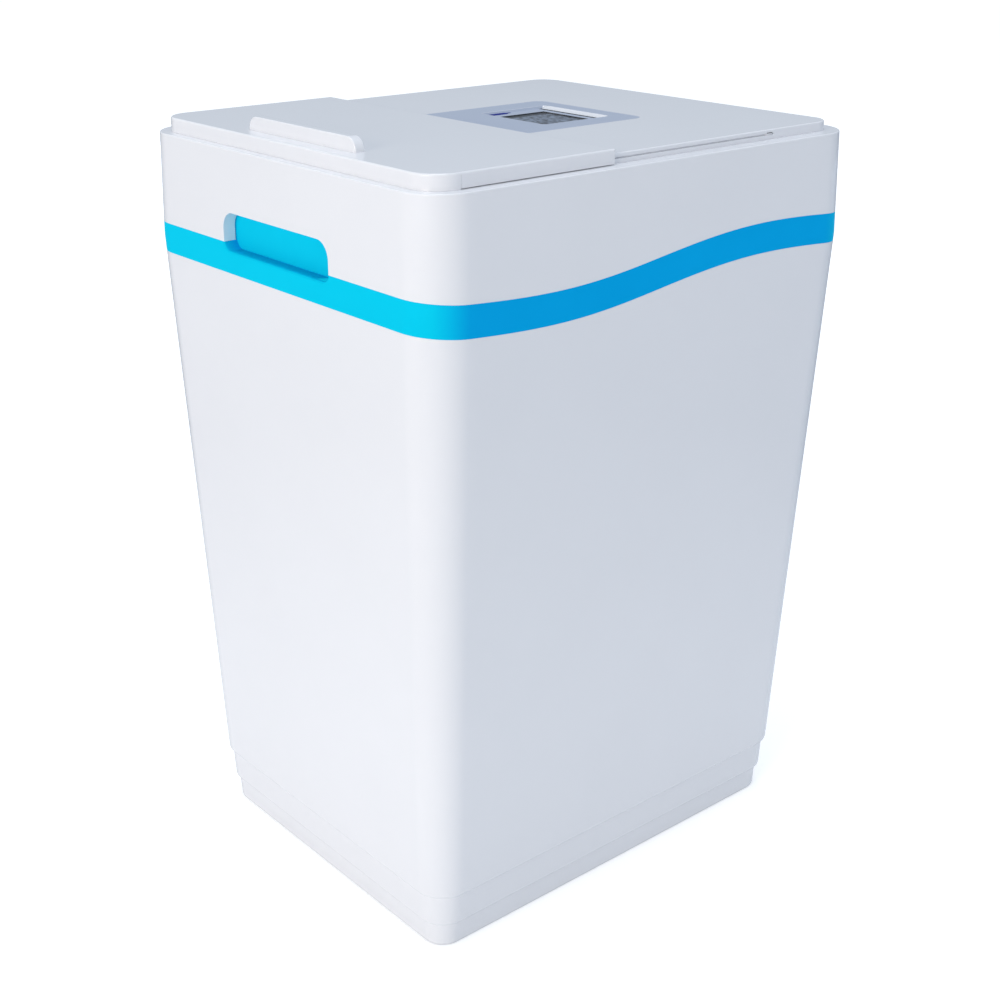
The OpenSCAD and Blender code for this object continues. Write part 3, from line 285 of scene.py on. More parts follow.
def between(a, b, steps):
    """Rings on the cabinet's own wall from one ring to another, without the ends."""
    return [cabinet_ring(a[:, 2] + (b[:, 2] - a[:, 2]) * i / steps, 0) for i in range(1, steps)]


def grip_tool(lip):
    """Form of the finger grip: straight walls and a rounded lip at its mouth."""
    mouth = -HALF_D + MOUTH_IN
    radii = [GRIP_R_LOW, GRIP_R_TOP, GRIP_R_TOP, GRIP_R_LOW]
    stations = [(mouth - 6, lip)]
    stations += [(mouth + lip * (1 - math.cos(a)), lip * (1 - math.sin(a)))
                 for a in np.linspace(0, math.pi / 2, 6)]
    stations += [(GRIP_BACK, 0)]
    return solid("tool", [facing(outline(-GRIP_W, GRIP_W, GRIP_Z0, GRIP_Z1, radii, -grow), y)
                          for y, grow in stations])


def salt_tank():
    """Tapered tank on two shallow steps, with a tongue inside the band and the casing."""
    edge = [(STEP_EDGE * (1 - math.sin(a)), STEP_EDGE_H * (1 - math.cos(a)))
            for a in np.linspace(0, math.pi / 2, 5)]
    base = 2 * STEP_IN
    rings = [cabinet_ring(FOOT_H, base + FOOT_W), cabinet_ring(0, base + FOOT_W),
             cabinet_ring(0, base + 2 * STEP_EDGE)]
    rings += [cabinet_ring(FOOT_LIFT + rise, base + inset) for inset, rise in edge]
    for step, under in ((STEP_LOW, base), (STEP_HIGH, STEP_IN)):
        rings += [cabinet_ring(step - SHELF_H, under), cabinet_ring(step, under - SHELF_OUT)]
        rings += [cabinet_ring(step + rise, under - STEP_IN + inset) for inset, rise in edge]
    top = wave_ring(-BAND_H - SEAM, 0)
    rings += between(rings[-1], top, 14) + [top, wave_ring(-BAND_H, SEAM)]
    outer = np.array((TONGUE_W, TONGUE_D, TONGUE_R))
    inner = outer - TONGUE_T
    rings += [straight_ring(*outer, wave_level(-BAND_H)), straight_ring(*outer, TONGUE_TOP - TONGUE_EDGE),
              straight_ring(*(outer - TONGUE_EDGE), TONGUE_TOP),
              straight_ring(*inner, TONGUE_TOP), straight_ring(*inner, TONGUE_LOW)]
    rings += [cabinet_ring(TONGUE_LOW, WALL), cabinet_ring(STEP_HIGH + WALL, WALL),
              cabinet_ring(STEP_HIGH + WALL, STEP_IN + WALL), cabinet_ring(FLOOR_Z + WALL, base + WALL),
              cabinet_ring(FLOOR_Z, base + 2 * WALL)]
    tank = solid("salt_tank_moulding", rings)
    combine(tank, block("tool", -NOTCH_W, NOTCH_W, -PAST, 0, GRIP_Z0 - NOTCH_DROP, ABOVE))
    combine(tank, block("tool", PORT_CUT[0], PORT_CUT[1], 0, PAST, PORT_CUT[2] - PORT_DROP, ABOVE))
    return combine(tank, across("tool", disc(*OVERFLOW), HALF_D - 30, HALF_D + 5))


def trim_band():
    """Waving band, with the finger grip's floor and back wall."""
    low, top = wave_ring(-BAND_H + SEAM, 0), wave_ring(-SEAM, 0)
    rings = [wave_ring(-BAND_H, SEAM), low] + between(low, top, 10) + [top, wave_ring(0, SEAM)]
    inside = (HALF_W - WALL, HALF_D - WALL, CORNER_R - WALL)
    rings += [straight_ring(*inside, wave_level(shift)) for shift in (0, -BAND_H)]
    band = solid("trim_band_moulding", rings, wrap=True)
    low_r, top_r, side = GRIP_R_LOW + GRIP_WALL, GRIP_R_TOP + GRIP_WALL, GRIP_W + GRIP_WALL
    back = GRIP_BACK + GRIP_WALL
    tray = outline(-side, side, GRIP_Z0 - GRIP_WALL, BAND_FRONT, [low_r, SHARP, SHARP, low_r])
    combine(band, across("tool", tray, -HALF_D + GRIP_SKIN, back), "UNION")
    plate = outline(-side, side, GRIP_Z0 - GRIP_WALL, GRIP_Z1 + GRIP_WALL, [low_r, top_r, top_r, low_r])
    combine(band, across("tool", plate, GRIP_BACK - 0.5, back), "UNION")
    return combine(band, grip_tool(BAND_LIP))


def top_casing():
    """Casing over the band, with the grip's sleeve and the openings in its top and back."""
    fillet = 3.0
    low, under = wave_ring(SEAM, 0), RIM_Z - WALL
    rings = [cabinet_ring(under, WALL + fillet), cabinet_ring(under - fillet, WALL),
             wave_ring(0, WALL), wave_ring(0, SEAM), low]
    rings += between(low, cabinet_ring(RIM_Z - RIM_EDGE, 0), 10)
    rings += [cabinet_ring(RIM_Z - RIM_EDGE + rise, inset) for inset, rise in quarter(RIM_EDGE)]
    casing = solid("top_casing_moulding", rings)
    lip = outline(*SALT_MOUTH, [SALT_R] * 4, -SALT_LIP)
    combine(casing, upright("tool", lip, under - SALT_LIP_H, RIM_Z - WALL / 2), "UNION")
    side, top_r = GRIP_W + GRIP_WALL, GRIP_R_TOP + GRIP_WALL
    sleeve = outline(-side, side, BAND_FRONT, GRIP_Z1 + GRIP_WALL, [SHARP, top_r, top_r, SHARP])
    combine(casing, across("tool", sleeve, -HALF_D + GRIP_SKIN, GRIP_BACK - 1.1), "UNION")
    combine(casing, grip_tool(CASING_LIP))
    combine(casing, upright("tool", outline(*SALT_MOUTH, [SALT_R] * 4), BELOW, ABOVE))
    combine(casing, upright("tool", outline(*SERVICE_MOUTH, [SALT_R] * 4), under - 4, ABOVE))
    inside, face, outside = HALF_D - 14, HALF_D - 0.6, HALF_D + 4
    stations = [(inside, 0)] + [(face - inset, PORT_CUT_LIP - rise) for inset, rise in quarter(PORT_CUT_LIP)[::-1]]
    stations += [(outside, PORT_CUT_LIP)]
    combine(casing, solid("tool", [facing(outline(*PORT_CUT, [PORT_CUT_R + grow] * 4, inset=-grow), y)
                                   for y, grow in stations]))
    return combine(casing, across("tool", disc(*SOCKET), inside, outside))


def service_deck():
    """Raised deck behind the hatch: side tracks, screw bosses, the label's bed and the display's window."""
    form = (-DECK_W, DECK_W, DECK_Y0, DECK_Y1)
    levels = [(0, RIM_Z)] + [(inset, DECK_Z - DECK_EDGE + rise) for inset, rise in quarter(DECK_EDGE)]
    deck = solid("service_deck_moulding", [level(outline(*form, [DECK_R] * 4, inset), z) for inset, z in levels])
    pocket = outline(-DECK_W + DECK_SIDE, DECK_W - DECK_SIDE, DECK_Y0 + DECK_T, DECK_Y1 - DECK_T,
                     [DECK_R - DECK_T] * 4)
    combine(deck, upright("tool", pocket, RIM_Z - 1, DECK_Z - DECK_T))
    for x, y, z in DECK_SCREWS:
        combine(deck, upright("tool", disc(x, y, 5), RIM_Z, DECK_Z - 1), "UNION")
        combine(deck, upright("tool", disc(x, y, 3.8), z, DECK_Z + 2))
        x0, x1 = sorted(math.copysign(edge, x) for edge in (TRACK_X, DECK_W + 2))
        combine(deck, block("tool", x0, x1, DECK_Y0 - 2, TRACK_END, TRACK_Z0, TRACK_Z1))
    bed = outline(*LABEL, [SHARP, LABEL_R, LABEL_R, SHARP])
    combine(deck, upright("tool", bed, DECK_Z - LABEL_T, DECK_Z + 2))
    return combine(deck, upright("tool", outline(*WINDOW, [WINDOW_R] * 4), RIM_Z - 2, DECK_Z + 2))


def label_sheet():
    """Bare film let into the deck, round the display's window."""
    form = outline(*LABEL, [SHARP, LABEL_R, LABEL_R, SHARP], 0.05)
    sheet = upright("label_sheet", form, DECK_Z - LABEL_T, DECK_Z)
    return combine(sheet, upright("tool", outline(*WINDOW, [WINDOW_R] * 4), RIM_Z, DECK_Z + 2))


def salt_lid():
    """Sliding hatch: a hollow lid with runners in the deck's tracks and an upright tab."""
    form = (-HATCH_W, HATCH_W, HATCH_Y0, HATCH_Y1)
    levels = [(0, HATCH_LOW)]
    levels += [(inset, HATCH_TOP - HATCH_EDGE + rise) for inset, rise in quarter(HATCH_EDGE)]
    lid = solid("salt_lid_moulding", [level(outline(*form, [HATCH_R, 1.0, 1.0, HATCH_R], inset), z)
                                      for inset, z in levels])
    hollow = outline(-HATCH_W + SKIRT, HATCH_W - SKIRT, HATCH_Y0 + 2, HATCH_Y1 + 6,
                     [HATCH_R - SKIRT, SHARP, SHARP, HATCH_R - SKIRT])
    combine(lid, upright("tool", hollow, RIM_Z - 1, HATCH_UNDER))
    straight, past, play = HATCH_Y0 + HATCH_R + 2, HATCH_W + 1, 0.05
    for s in (-1, 1):
        # The skirt's sides clear the rim, a runner fills the track, and a fine line ends the rounded corner
        x0, x1 = sorted((s * (HATCH_W - SKIRT - 1), s * past))
        combine(lid, block("tool", x0, x1, straight, HATCH_Y1 + 1, RIM_Z - 1, SILL_Z))
        x0, x1 = sorted((s * (TRACK_X + 0.3), s * (HATCH_W - SKIRT / 2)))
        combine(lid, block("tool", x0, x1, HATCH_Y1 - 11, HATCH_Y1 - 1, TRACK_Z0 + play, TRACK_Z1 - play), "UNION")
        x0, x1 = sorted((s * (HATCH_W - 0.4), s * past))
        combine(lid, block("tool", x0, x1, straight - 0.1, straight + 0.1, RIM_Z - 1, HATCH_TOP - HATCH_EDGE))
    ends = [(TAB_Y0 + TAB_EDGE - rise, inset) for inset, rise in quarter(TAB_EDGE)][::-1]
    ends += [(TAB_Y0 + TAB_T - TAB_EDGE + rise, inset) for inset, rise in quarter(TAB_EDGE)]
    rings = []
    for y, inset in ends:
        shape = outline(TAB_X - TAB_W, TAB_X + TAB_W, HATCH_TOP - 3, HATCH_TOP + TAB_H,
                        [SHARP, TAB_R, TAB_R, SHARP], inset)
        rings.append([(x, y, max(z, HATCH_TOP - 1.6)) for x, z in shape])
    return combine(lid, solid("tool", rings), "UNION")


def display_frame():
    """Sunken frame: sloped walls, a ledge round the screen and posts down to the board."""
    radii, gap = [WINDOW_R] * 4, 0.05
    piece = upright("display_frame_moulding", outline(*WINDOW, radii, gap), FRAME_LOW, DECK_Z)
    combine(piece, upright("tool", outline(*WINDOW, radii, -FRAME_FLANGE), FRAME_LOW, DECK_Z - DECK_T), "UNION")
    mouth = outline(*WINDOW, radii, 0.25)
    combine(piece, solid("tool", [level(mouth, DECK_Z + 1), level(mouth, DECK_Z),
                                  level(outline(*LEDGE, [1.0] * 4), LEDGE_Z)]))
    combine(piece, block("tool", *SCREEN, FRAME_LOW - 1, LEDGE_Z + 1))
    x0, x1, y0, y1 = LIGHT
    combine(piece, block("tool", x0 - gap, x1 + gap, y0 - gap, y1 + gap, FRAME_LOW - 1, LEDGE_Z + 1))
    for x in WINDOW[:2]:
        for y in WINDOW[2:]:
            combine(piece, upright("tool", disc(x, y, POST_R, 32), BOARD_TOP, FRAME_LOW + 0.5), "UNION")
    return piece


def screen_border():
    """Black print on the ledge that turns down to the screen."""
    low, top = LEDGE_Z + 0.02, LEDGE_Z + 0.08
    border = upright("screen_border_print", outline(*LEDGE, [1.2] * 4, 0.1), low, top)
    combine(border, upright("tool", outline(*SCREEN, [SHARP] * 4, 0.01), LENS_TOP + 0.2, top), "UNION")
    combine(border, upright("tool", outline(*SCREEN, [SHARP] * 4, 0.11), FRAME_LOW - 1, LEDGE_Z + 1))
    return combine(border, upright("tool", outline(*LIGHT, [LIGHT_R] * 4, -0.15), FRAME_LOW, LEDGE_Z + 1))


def ledge_film():
    """Printed film on the ledge, drawn in from the rear wall and the screen, and turned up the left wall."""
    x0, x1, y0, y1 = LEDGE
    low, rise = LEDGE_Z + 0.1, DECK_Z - 0.1
    film = upright("ledge_film", outline(x0, x1 - 0.3, y0, y1 - 4.0, [0.5] * 4), LEDGE_Z + 0.08, LEDGE_Z + 0.22)
    wall = [(WINDOW[0] + 0.3, rise), (x0 - 0.02, low), (x0 + 0.4, low), (WINDOW[0] + 0.6, rise)]
    combine(film, across("tool", wall, y0, y1 + 1.5), "UNION")
    x0, x1, y0, y1 = SCREEN
    hole = outline(x0 - 0.3, x1 + 2.4, y0 - 4, y1 + 0.3, [0.6] * 4)
    combine(film, upright("tool", hole, LEDGE_Z - 1, LEDGE_Z + 1))
    return combine(film, upright("tool", outline(*LIGHT, [LIGHT_R] * 4, -0.15), LEDGE_Z - 1, LEDGE_Z + 1))


def screen_film():
    """Polarising film laid on the display's lens."""
    return upright("screen_film", outline(*SCREEN, [0.4] * 4, 0.15), LENS_TOP + 0.03, LENS_TOP + 0.15)


def light_bar():
    """Light pipe from the board, with a wider window that lies on the ledge."""
    bar = upright("light_bar", outline(*LIGHT, [LIGHT_R] * 4), BOARD_TOP, LEDGE_Z + 0.3)
    cap = [level(outline(*LIGHT_CAP, [0.8] * 4, inset), LEDGE_Z + z) for inset, z in ((0, 0.22), (0, 0.4), (0.15, 0.5))]
    return combine(bar, solid("tool", cap), "UNION")


def threaded_tail(name, x):
    """Port tail with a 14-per-inch pipe thread, its crest on the solid's radius."""
    count, root = 64, PORT_R - THREAD_DEPTH
    start, end = PORT_Y0 + 7, PORT_Y1 - 1.5

    def plain(pairs):
        return [facing(disc(x, PORT_Z, r, count), y) for r, y in pairs]

    rings = plain([(FLANGE_R - 0.6, PORT_Y0), (FLANGE_R, PORT_Y0 + 0.6), (FLANGE_R, PORT_Y0 + 4.4),
                   (FLANGE_R - 0.6, PORT_Y0 + 5), (root, PORT_Y0 + 5), (root, start - 0.2)])
    for y in np.arange(start, end, THREAD_PITCH / 6):
        ring = []
        for j, (a, b) in enumerate(disc(0, 0, 1, count)):
            tooth = abs(2 * ((y / THREAD_PITCH + j / count) % 1) - 1)
            fade = min(1, (y - start) / THREAD_PITCH, (end - y) / THREAD_PITCH)
            r = PORT_R - THREAD_DEPTH * (1 - fade * min(1, 1.25 * tooth))
            ring.append((x + r * a, y, PORT_Z + r * b))
        rings.append(ring)
    rings += plain([(root, end + 0.2), (root - 0.5, PORT_Y1), (BORE_R + 0.5, PORT_Y1),
                    (BORE_R, PORT_Y1 - 0.5), (BORE_R, PORT_Y0)])
    return solid(name, rings, wrap=True)


def spider(x):
    """Cross in the outlet tail that carries the wheel's front pin."""
    place, thick = (x, PORT_Y0, PORT_Z), 3.0
    pin_r, hub_r, arm_w = 1.3, 2.6, 1.2
    profile = [(pin_r, 0), (hub_r, 0), (hub_r, thick), (pin_r, thick)]
    hub = turned("outlet_spider", profile, place, (0, 1, 0), 24, wrap=True)
    for turn in (0, 90, 180, 270):
        arm = block("tool", 1.8, BORE_R + 0.5, -arm_w, arm_w, 0, thick)
        arm.data.transform(Matrix.Translation(Vector(place) * MM) @ Matrix.Rotation(-math.pi / 2, 4, "X")
                           @ Matrix.Rotation(math.radians(turn), 4, "Z"))
        combine(hub, arm, "UNION")
    return hub


def screws(name, places, axis, r, h, shank, reach):
    """Pan-head screws with cross recesses, each from the place under its head."""
    stand = Vector((0, 0, 1)).rotation_difference(Vector(axis)).to_matrix().to_4x4()
    made = None
    for i, place in enumerate(places):
        profile = [(shank - 0.6, -reach), (shank, -reach + 1), (shank, 0), (r, 0)]
        profile += [(r - inset, 0.4 * h + rise) for inset, rise in quarter(0.6 * h)]
        one = turned(name, profile, place, axis, 32)
        for turn in (0, 90):
            slot = block("tool", -0.6 * r, 0.6 * r, -0.14 * r, 0.14 * r, 0.35 * h, h + 1)
            slot.data.transform(Matrix.Translation(Vector(place) * MM) @ stand
                                @ Matrix.Rotation(math.radians(turn + 25 + 40 * i), 4, "Z"))
            combine(one, slot)
        made = combine(made, one, "UNION") if made else one
    return made


def overflow_nut():
    """Hexagon nut with its corners turned off at both ends."""
    place, axis = (OVERFLOW[0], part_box("overflow_nut")[0][1] / MM, OVERFLOW[1]), (0, 1, 0)
    nut = turned("overflow_nut_moulding", [(NUT_R, 0), (NUT_R, NUT_H)], place, axis, 6)
    ends = [(NUT_R - 2, 0), (NUT_R + 0.2, 1.3), (NUT_R + 0.2, NUT_H - 1.3), (NUT_R - 2, NUT_H)]
    combine(nut, turned("tool", ends, place, axis, 64), "INTERSECT")
    bore = OVERFLOW_R + 0.15
    return combine(nut, turned("tool", [(bore, -1), (bore, NUT_H + 1)], place, axis))


def barbs(name, tip, axis, r, count, pitch):
    """Hose barbs round a spigot: each rises slowly from the tip and drops behind."""
    profile = [(r - 0.6, 0.2)]
    for i in range(count):
        profile += [(r + 0.05, i * pitch + 0.2), (r + 0.9, (i + 0.75) * pitch), (r + 0.05, (i + 0.85) * pitch)]
    return turned(name, profile + [(r - 0.6, count * pitch)], tip, axis, wrap=True)


def socket_pin():
    """Centre contact of the power socket."""
    profile = [(1.0, 0), (1.0, 7.4), (0.8, 8), (0.4, 8.3)]
    return turned("socket_pin", profile, (SOCKET[0], HALF_D - 10, SOCKET[1]), (0, 1, 0), 24)


# ---- finishes -----------------------------------------------------------------------------------

def linear(code):
    """Linear colour of an sRGB hex code."""
    parts = [int(code[i:i + 2], 16) / 255 for i in (1, 3, 5)]
    return tuple(c / 12.92 if c <= 0.04045 else ((c + 0.055) / 1.055) ** 2.4 for c in parts) + (1.0,)


def add(tree, kind, props=None, values=None, links=None):
    """Adds a shader node with its settings, socket values and links."""
    node = tree.nodes.new("ShaderNode" + kind)
    for key, value in (props or {}).items():
        setattr(node, key, value)
    for key, value in (values or {}).items():
        node.inputs[key].default_value = value
    for key, source in (links or {}).items():
        tree.links.new(source, node.inputs[key])
    return node


def finish(name, **values):
    """New material with one principled shader and its constant values, and the place on the piece."""
    material = bpy.data.materials.new(name)
    material.use_nodes = True
    tree = material.node_tree
    shader = tree.nodes["Principled BSDF"]
    for key, value in values.items():
        shader.inputs[key.replace("_", " ")].default_value = value
    return material, tree, add(tree, "TexCoord").outputs["Object"]


def dress(material, **sources):
    """Links patterns to the material's shader, and returns the material."""
    tree = material.node_tree
    for key, source in sources.items():
        tree.links.new(source, tree.nodes["Principled BSDF"].inputs[key.replace("_", " ")])
    return material


def per_mm(size):
    """Scale of a pattern whose features are this many millimetres wide."""
    return 1000.0 / size


def moulded(name, base, shade_to, rough, grain, relief, **values):
    """Injection moulding: a slow drift of tone, gloss that varies a little, and the tool's surface."""
    material, tree, place = finish(name, **{"IOR": 1.5, **values})
    flow = add(tree, "TexNoise", values={"Scale": per_mm(90), "Detail": 3.0}, links={"Vector": place})
    tone = add(tree, "Mix", {"data_type": "RGBA"}, {6: linear(base), 7: linear(shade_to)}, {0: flow.outputs["Fac"]})
    skin = add(tree, "TexNoise", values={"Scale": per_mm(grain), "Detail": 2.0}, links={"Vector": place})
    gloss = add(tree, "MapRange", values={"To Min": rough[0], "To Max": rough[1]}, links={0: skin.outputs["Fac"]})
    bump = add(tree, "Bump", values={"Strength": 0.6, "Distance": relief * MM}, links={"Height": skin.outputs["Fac"]})
    return dress(material, Base_Color=tone.outputs[2], Roughness=gloss.outputs[0], Normal=bump.outputs[0])


def blue_trim():
    """Dyed ABS, cyan where it faces the front or the back, with painted shade that turns it azure on the sides and
    deeper in the grip's floor.
    """
    material, tree, place = finish("blue_abs_painted_shade", IOR=1.5, Specular_IOR_Level=0.004)
    # Painted shade: the colour goes from cyan to azure as a face turns away from the front, and goes further the deeper
    # it is in the grip
    normal = add(tree, "SeparateXYZ", links={0: add(tree, "NewGeometry").outputs["Normal"]})
    ahead = add(tree, "Math", {"operation": "ABSOLUTE"}, links={0: normal.outputs["Y"]})
    turn = add(tree, "MapRange", values={"From Min": 0.73, "From Max": 0.0}, links={0: ahead.outputs[0]})
    depth = add(tree, "SeparateXYZ", links={0: place})
    depth = add(tree, "MapRange", values={"From Min": -HALF_D * MM, "From Max": -199.5 * MM, "To Min": 0.1},
                links={0: depth.outputs["Y"]})
    turn = add(tree, "Math", {"operation": "MULTIPLY"}, links={0: turn.outputs[0], 1: depth.outputs[0]})
    flow = add(tree, "TexNoise", values={"Scale": per_mm(60), "Detail": 3.0}, links={"Vector": place})
    front, side = (add(tree, "Mix", {"data_type": "RGBA"}, {6: linear(a), 7: linear(b)}, {0: flow.outputs["Fac"]})
                   for a, b in (("#06c4e5", "#0ac9e9"), ("#05a4e5", "#09abeb")))
    tone = add(tree, "Mix", {"data_type": "RGBA"}, links={0: turn.outputs[0], 6: front.outputs[2], 7: side.outputs[2]})
    skin = add(tree, "TexNoise", values={"Scale": per_mm(7), "Detail": 2.0}, links={"Vector": place})
    gloss = add(tree, "MapRange", values={"To Min": 0.22, "To Max": 0.28}, links={0: skin.outputs["Fac"]})
    bump = add(tree, "Bump", values={"Strength": 0.6, "Distance": 0.012 * MM}, links={"Height": skin.outputs["Fac"]})
    return dress(material, Base_Color=tone.outputs[2], Roughness=gloss.outputs[0], Normal=bump.outputs[0])


def wound_fibreglass():
    """Glass rovings wound at an angle under clear resin: crossing bands, glossy, slate blue."""
    material, tree, place = finish("wound_fibreglass", IOR=1.52, Coat_Weight=0.5, Coat_Roughness=0.12)
    bands = []
    for lean in (0.62, -0.62):
        turned_to = add(tree, "Mapping", values={"Rotation": (lean, 0.0, 0.0)}, links={"Vector": place})
        bands.append(add(tree, "TexWave", {"bands_direction": "Z"},
                         {"Scale": per_mm(9) / 20, "Distortion": 1.2, "Detail": 2.0, "Detail Scale": 4.0},
                         {"Vector": turned_to.outputs[0]}))
    weave = add(tree, "Math", {"operation": "MAXIMUM"}, links={0: bands[0].outputs["Fac"], 1: bands[1].outputs["Fac"]})
    tone = add(tree, "Mix", {"data_type": "RGBA"}, {6: linear("#3f5268"), 7: linear("#6b8097")}, {0: weave.outputs[0]})
    gloss = add(tree, "MapRange", values={"To Min": 0.3, "To Max": 0.42}, links={0: weave.outputs[0]})
    bump = add(tree, "Bump", values={"Strength": 0.5, "Distance": 0.25 * MM}, links={"Height": weave.outputs[0]})
    return dress(material, Base_Color=tone.outputs[2], Roughness=gloss.outputs[0], Normal=bump.outputs[0])


def resin_beads():
    """Ion exchange beads: amber grains under a millimetre, drawn 1.5 mm wide so that they show."""
    material, tree, place = finish("resin_beads", IOR=1.5, Roughness=0.45)
    beads = add(tree, "TexVoronoi", values={"Scale": per_mm(1.5)}, links={"Vector": place}).outputs["Distance"]
    tone = add(tree, "Mix", {"data_type": "RGBA"}, {6: linear("#c79a4e"), 7: linear("#6d4417")}, {0: beads})
    bump = add(tree, "Bump", {"invert": True}, {"Strength": 0.8, "Distance": 0.6 * MM}, {"Height": beads})
    return dress(material, Base_Color=tone.outputs[2], Normal=bump.outputs[0])


def plated(name, base, shade_to, rough, streak):
    """Plated or machined metal: fine lines along one way that break up the reflection."""
    material, tree, place = finish(name, Metallic=1.0)
    drawn = add(tree, "Mapping", values={"Scale": (1.0, 1.0, 0.12)}, links={"Vector": place})
    lines = add(tree, "TexNoise", values={"Scale": per_mm(streak), "Detail": 3.0}, links={"Vector": drawn.outputs[0]})
    tone = add(tree, "Mix", {"data_type": "RGBA"}, {6: linear(base), 7: linear(shade_to)}, {0: lines.outputs["Fac"]})
    gloss = add(tree, "MapRange", values={"To Min": rough[0], "To Max": rough[1]}, links={0: lines.outputs["Fac"]})
    bump = add(tree, "Bump", values={"Strength": 0.4, "Distance": 0.01 * MM}, links={"Height": lines.outputs["Fac"]})
    return dress(material, Base_Color=tone.outputs[2], Roughness=gloss.outputs[0], Normal=bump.outputs[0])


def circuit_board():
    """Green solder mask over copper tracks, which stand out as paler lines."""
    material, tree, place = finish("solder_mask", IOR=1.5, Roughness=0.35)
    tracks = add(tree, "TexBrick", {"offset": 0.5},
                 {"Scale": per_mm(1), "Color1": (0, 0, 0, 1), "Color2": (0, 0, 0, 1), "Mortar": (1, 1, 1, 1),
                  "Mortar Size": 0.25, "Brick Width": 9.0, "Row Height": 3.0}, {"Vector": place}).outputs["Fac"]
    tone = add(tree, "Mix", {"data_type": "RGBA"}, {6: linear("#1f6b3f"), 7: linear("#3f8f5a")}, {0: tracks})
    bump = add(tree, "Bump", values={"Strength": 0.5, "Distance": 0.04 * MM}, links={"Height": tracks})
    return dress(material, Base_Color=tone.outputs[2], Normal=bump.outputs[0])


def liquid_crystal():
    """Unlit display: a cloudy, speckled reflector, with painted shade from the bezel's walls that takes it to near
    black along its left and rear edges.
    """
    material, tree, place = finish("liquid_crystal", IOR=1.5, Roughness=0.4)
    parts = add(tree, "SeparateXYZ", links={0: place})
    # Painted shade cast by the bezel's walls: a near-black strip along the left edge and a darker strip along the rear
    # edge
    aside = add(tree, "MapRange", values={"From Min": -12.5 * MM, "From Max": -11 * MM, "To Min": 0.08},
                links={0: parts.outputs["X"]})
    slope = add(tree, "MapRange",
                values={"From Min": -24.5 * MM, "From Max": -18.5 * MM, "To Min": 0.85, "To Max": 0.0},
                links={0: parts.outputs["X"]})
    aside = add(tree, "Math", {"operation": "MAXIMUM"}, links={0: aside.outputs[0], 1: slope.outputs[0]})
    ahead = add(tree, "MapRange", values={"From Min": 59.5 * MM, "From Max": 58.5 * MM, "To Min": 0.25},
                links={0: parts.outputs["Y"]})
    lit = add(tree, "Math", {"operation": "MULTIPLY"}, links={0: aside.outputs[0], 1: ahead.outputs[0]})
    cloud = add(tree, "TexNoise", values={"Scale": per_mm(3), "Detail": 2.0, "Roughness": 0.6}, links={"Vector": place})
    speck = add(tree, "MapRange", values={"From Min": 0.4, "From Max": 0.6, "To Min": 0.1, "To Max": 1.0},
                links={0: cloud.outputs["Fac"]})
    mixed = add(tree, "Math", {"operation": "MULTIPLY"}, links={0: lit.outputs[0], 1: speck.outputs[0]})
    tone = add(tree, "Mix", {"data_type": "RGBA"}, {6: linear("#1a1e26"), 7: linear("#7d899b")}, {0: mixed.outputs[0]})
    return dress(material, Base_Color=tone.outputs[2])


def smoked_acrylic():
    """Display lens: a thin smoky tint, its own reflection, and light handling marks in the gloss."""
    material, tree, place = finish("smoked_acrylic", IOR=1.49, Alpha=0.12, Base_Color=linear("#14181d"))
    marks = add(tree, "TexNoise", values={"Scale": per_mm(14), "Detail": 4.0}, links={"Vector": place})
    gloss = add(tree, "MapRange", values={"To Min": 0.02, "To Max": 0.1}, links={0: marks.outputs["Fac"]})
    return dress(material, Roughness=gloss.outputs[0])


finishes = {
    # White ABS from a polished tool: clean gloss with the faintest ripple
    "white_shell": moulded("white_abs", "#e8e9ed", "#ebecf0", (0.05, 0.08), 9.0, 0.004,
                           Coat_Weight=0.1, Coat_Roughness=0.03),
    "blue_trim": blue_trim(),
    # Satin film: flat, a little duller than the moulding round it
    "label_film": moulded("label_film", "#aab4c7", "#b0b9ca", (0.32, 0.42), 0.8, 0.004),
    "clear_lens": smoked_acrylic(),
    "screen": liquid_crystal(),
    # Light pipe in dyed acrylic, unlit: deep blue with a soft gloss
    "blue_light": moulded("blue_acrylic", "#01167c", "#031b86", (0.3, 0.38), 2.0, 0.01,
                          IOR=1.49, Specular_IOR_Level=0.02),
    "circuit_board": circuit_board(),
    # Polyethylene: waxy, greyer and softer in gloss
    "grey_moulding": moulded("grey_polyethylene", "#cfd5db", "#dde1e6", (0.38, 0.52), 1.2, 0.02),
    "vessel_wrap": wound_fibreglass(),
    "resin": resin_beads(),
    # Natural polypropylene: milky, faintly warm
    "natural_plastic": moulded("natural_polypropylene", "#dedcd2", "#e8e6dd", (0.32, 0.44), 1.0, 0.015),
    # Nitrile rubber: dull black
    "seal_rubber": moulded("nitrile_rubber", "#1b1b1c", "#232324", (0.62, 0.75), 0.5, 0.02),
    # Glass-filled nylon: near black, with a fine spark-eroded grain
    "black_moulding": moulded("black_nylon", "#26282c", "#303338", (0.42, 0.6), 0.6, 0.03, Specular_IOR_Level=0.25),
    # Zinc plate: pale grey, fine drawn lines
    "motor_steel": plated("zinc_plate", "#a9adb2", "#c3c7cb", (0.28, 0.4), 0.8),
    # Machined brass: warm yellow, finer lines
    "pinion_brass": plated("machined_brass", "#b8913e", "#cfa955", (0.22, 0.34), 0.6),
    # Acetal: smooth, slightly waxy blue, and a brick red for the clips
    "turbine_blue": moulded("blue_acetal", "#2f63c4", "#3a70d0", (0.28, 0.36), 0.8, 0.01),
    "clip_red": moulded("red_acetal", "#c23a2a", "#cf4735", (0.28, 0.36), 0.8, 0.01),
    # Foamed polypropylene: dull orange with closed cells in its skin
    "float_orange": moulded("orange_foam", "#dd7a2a", "#e88c3c", (0.5, 0.66), 1.6, 0.08),
}

for part in frame["record"]["subparts"]:
    node = frame["nodes"][part["node"]]
    node.data.materials.clear()
    node.data.materials.append(finishes[part["material_slot"]])


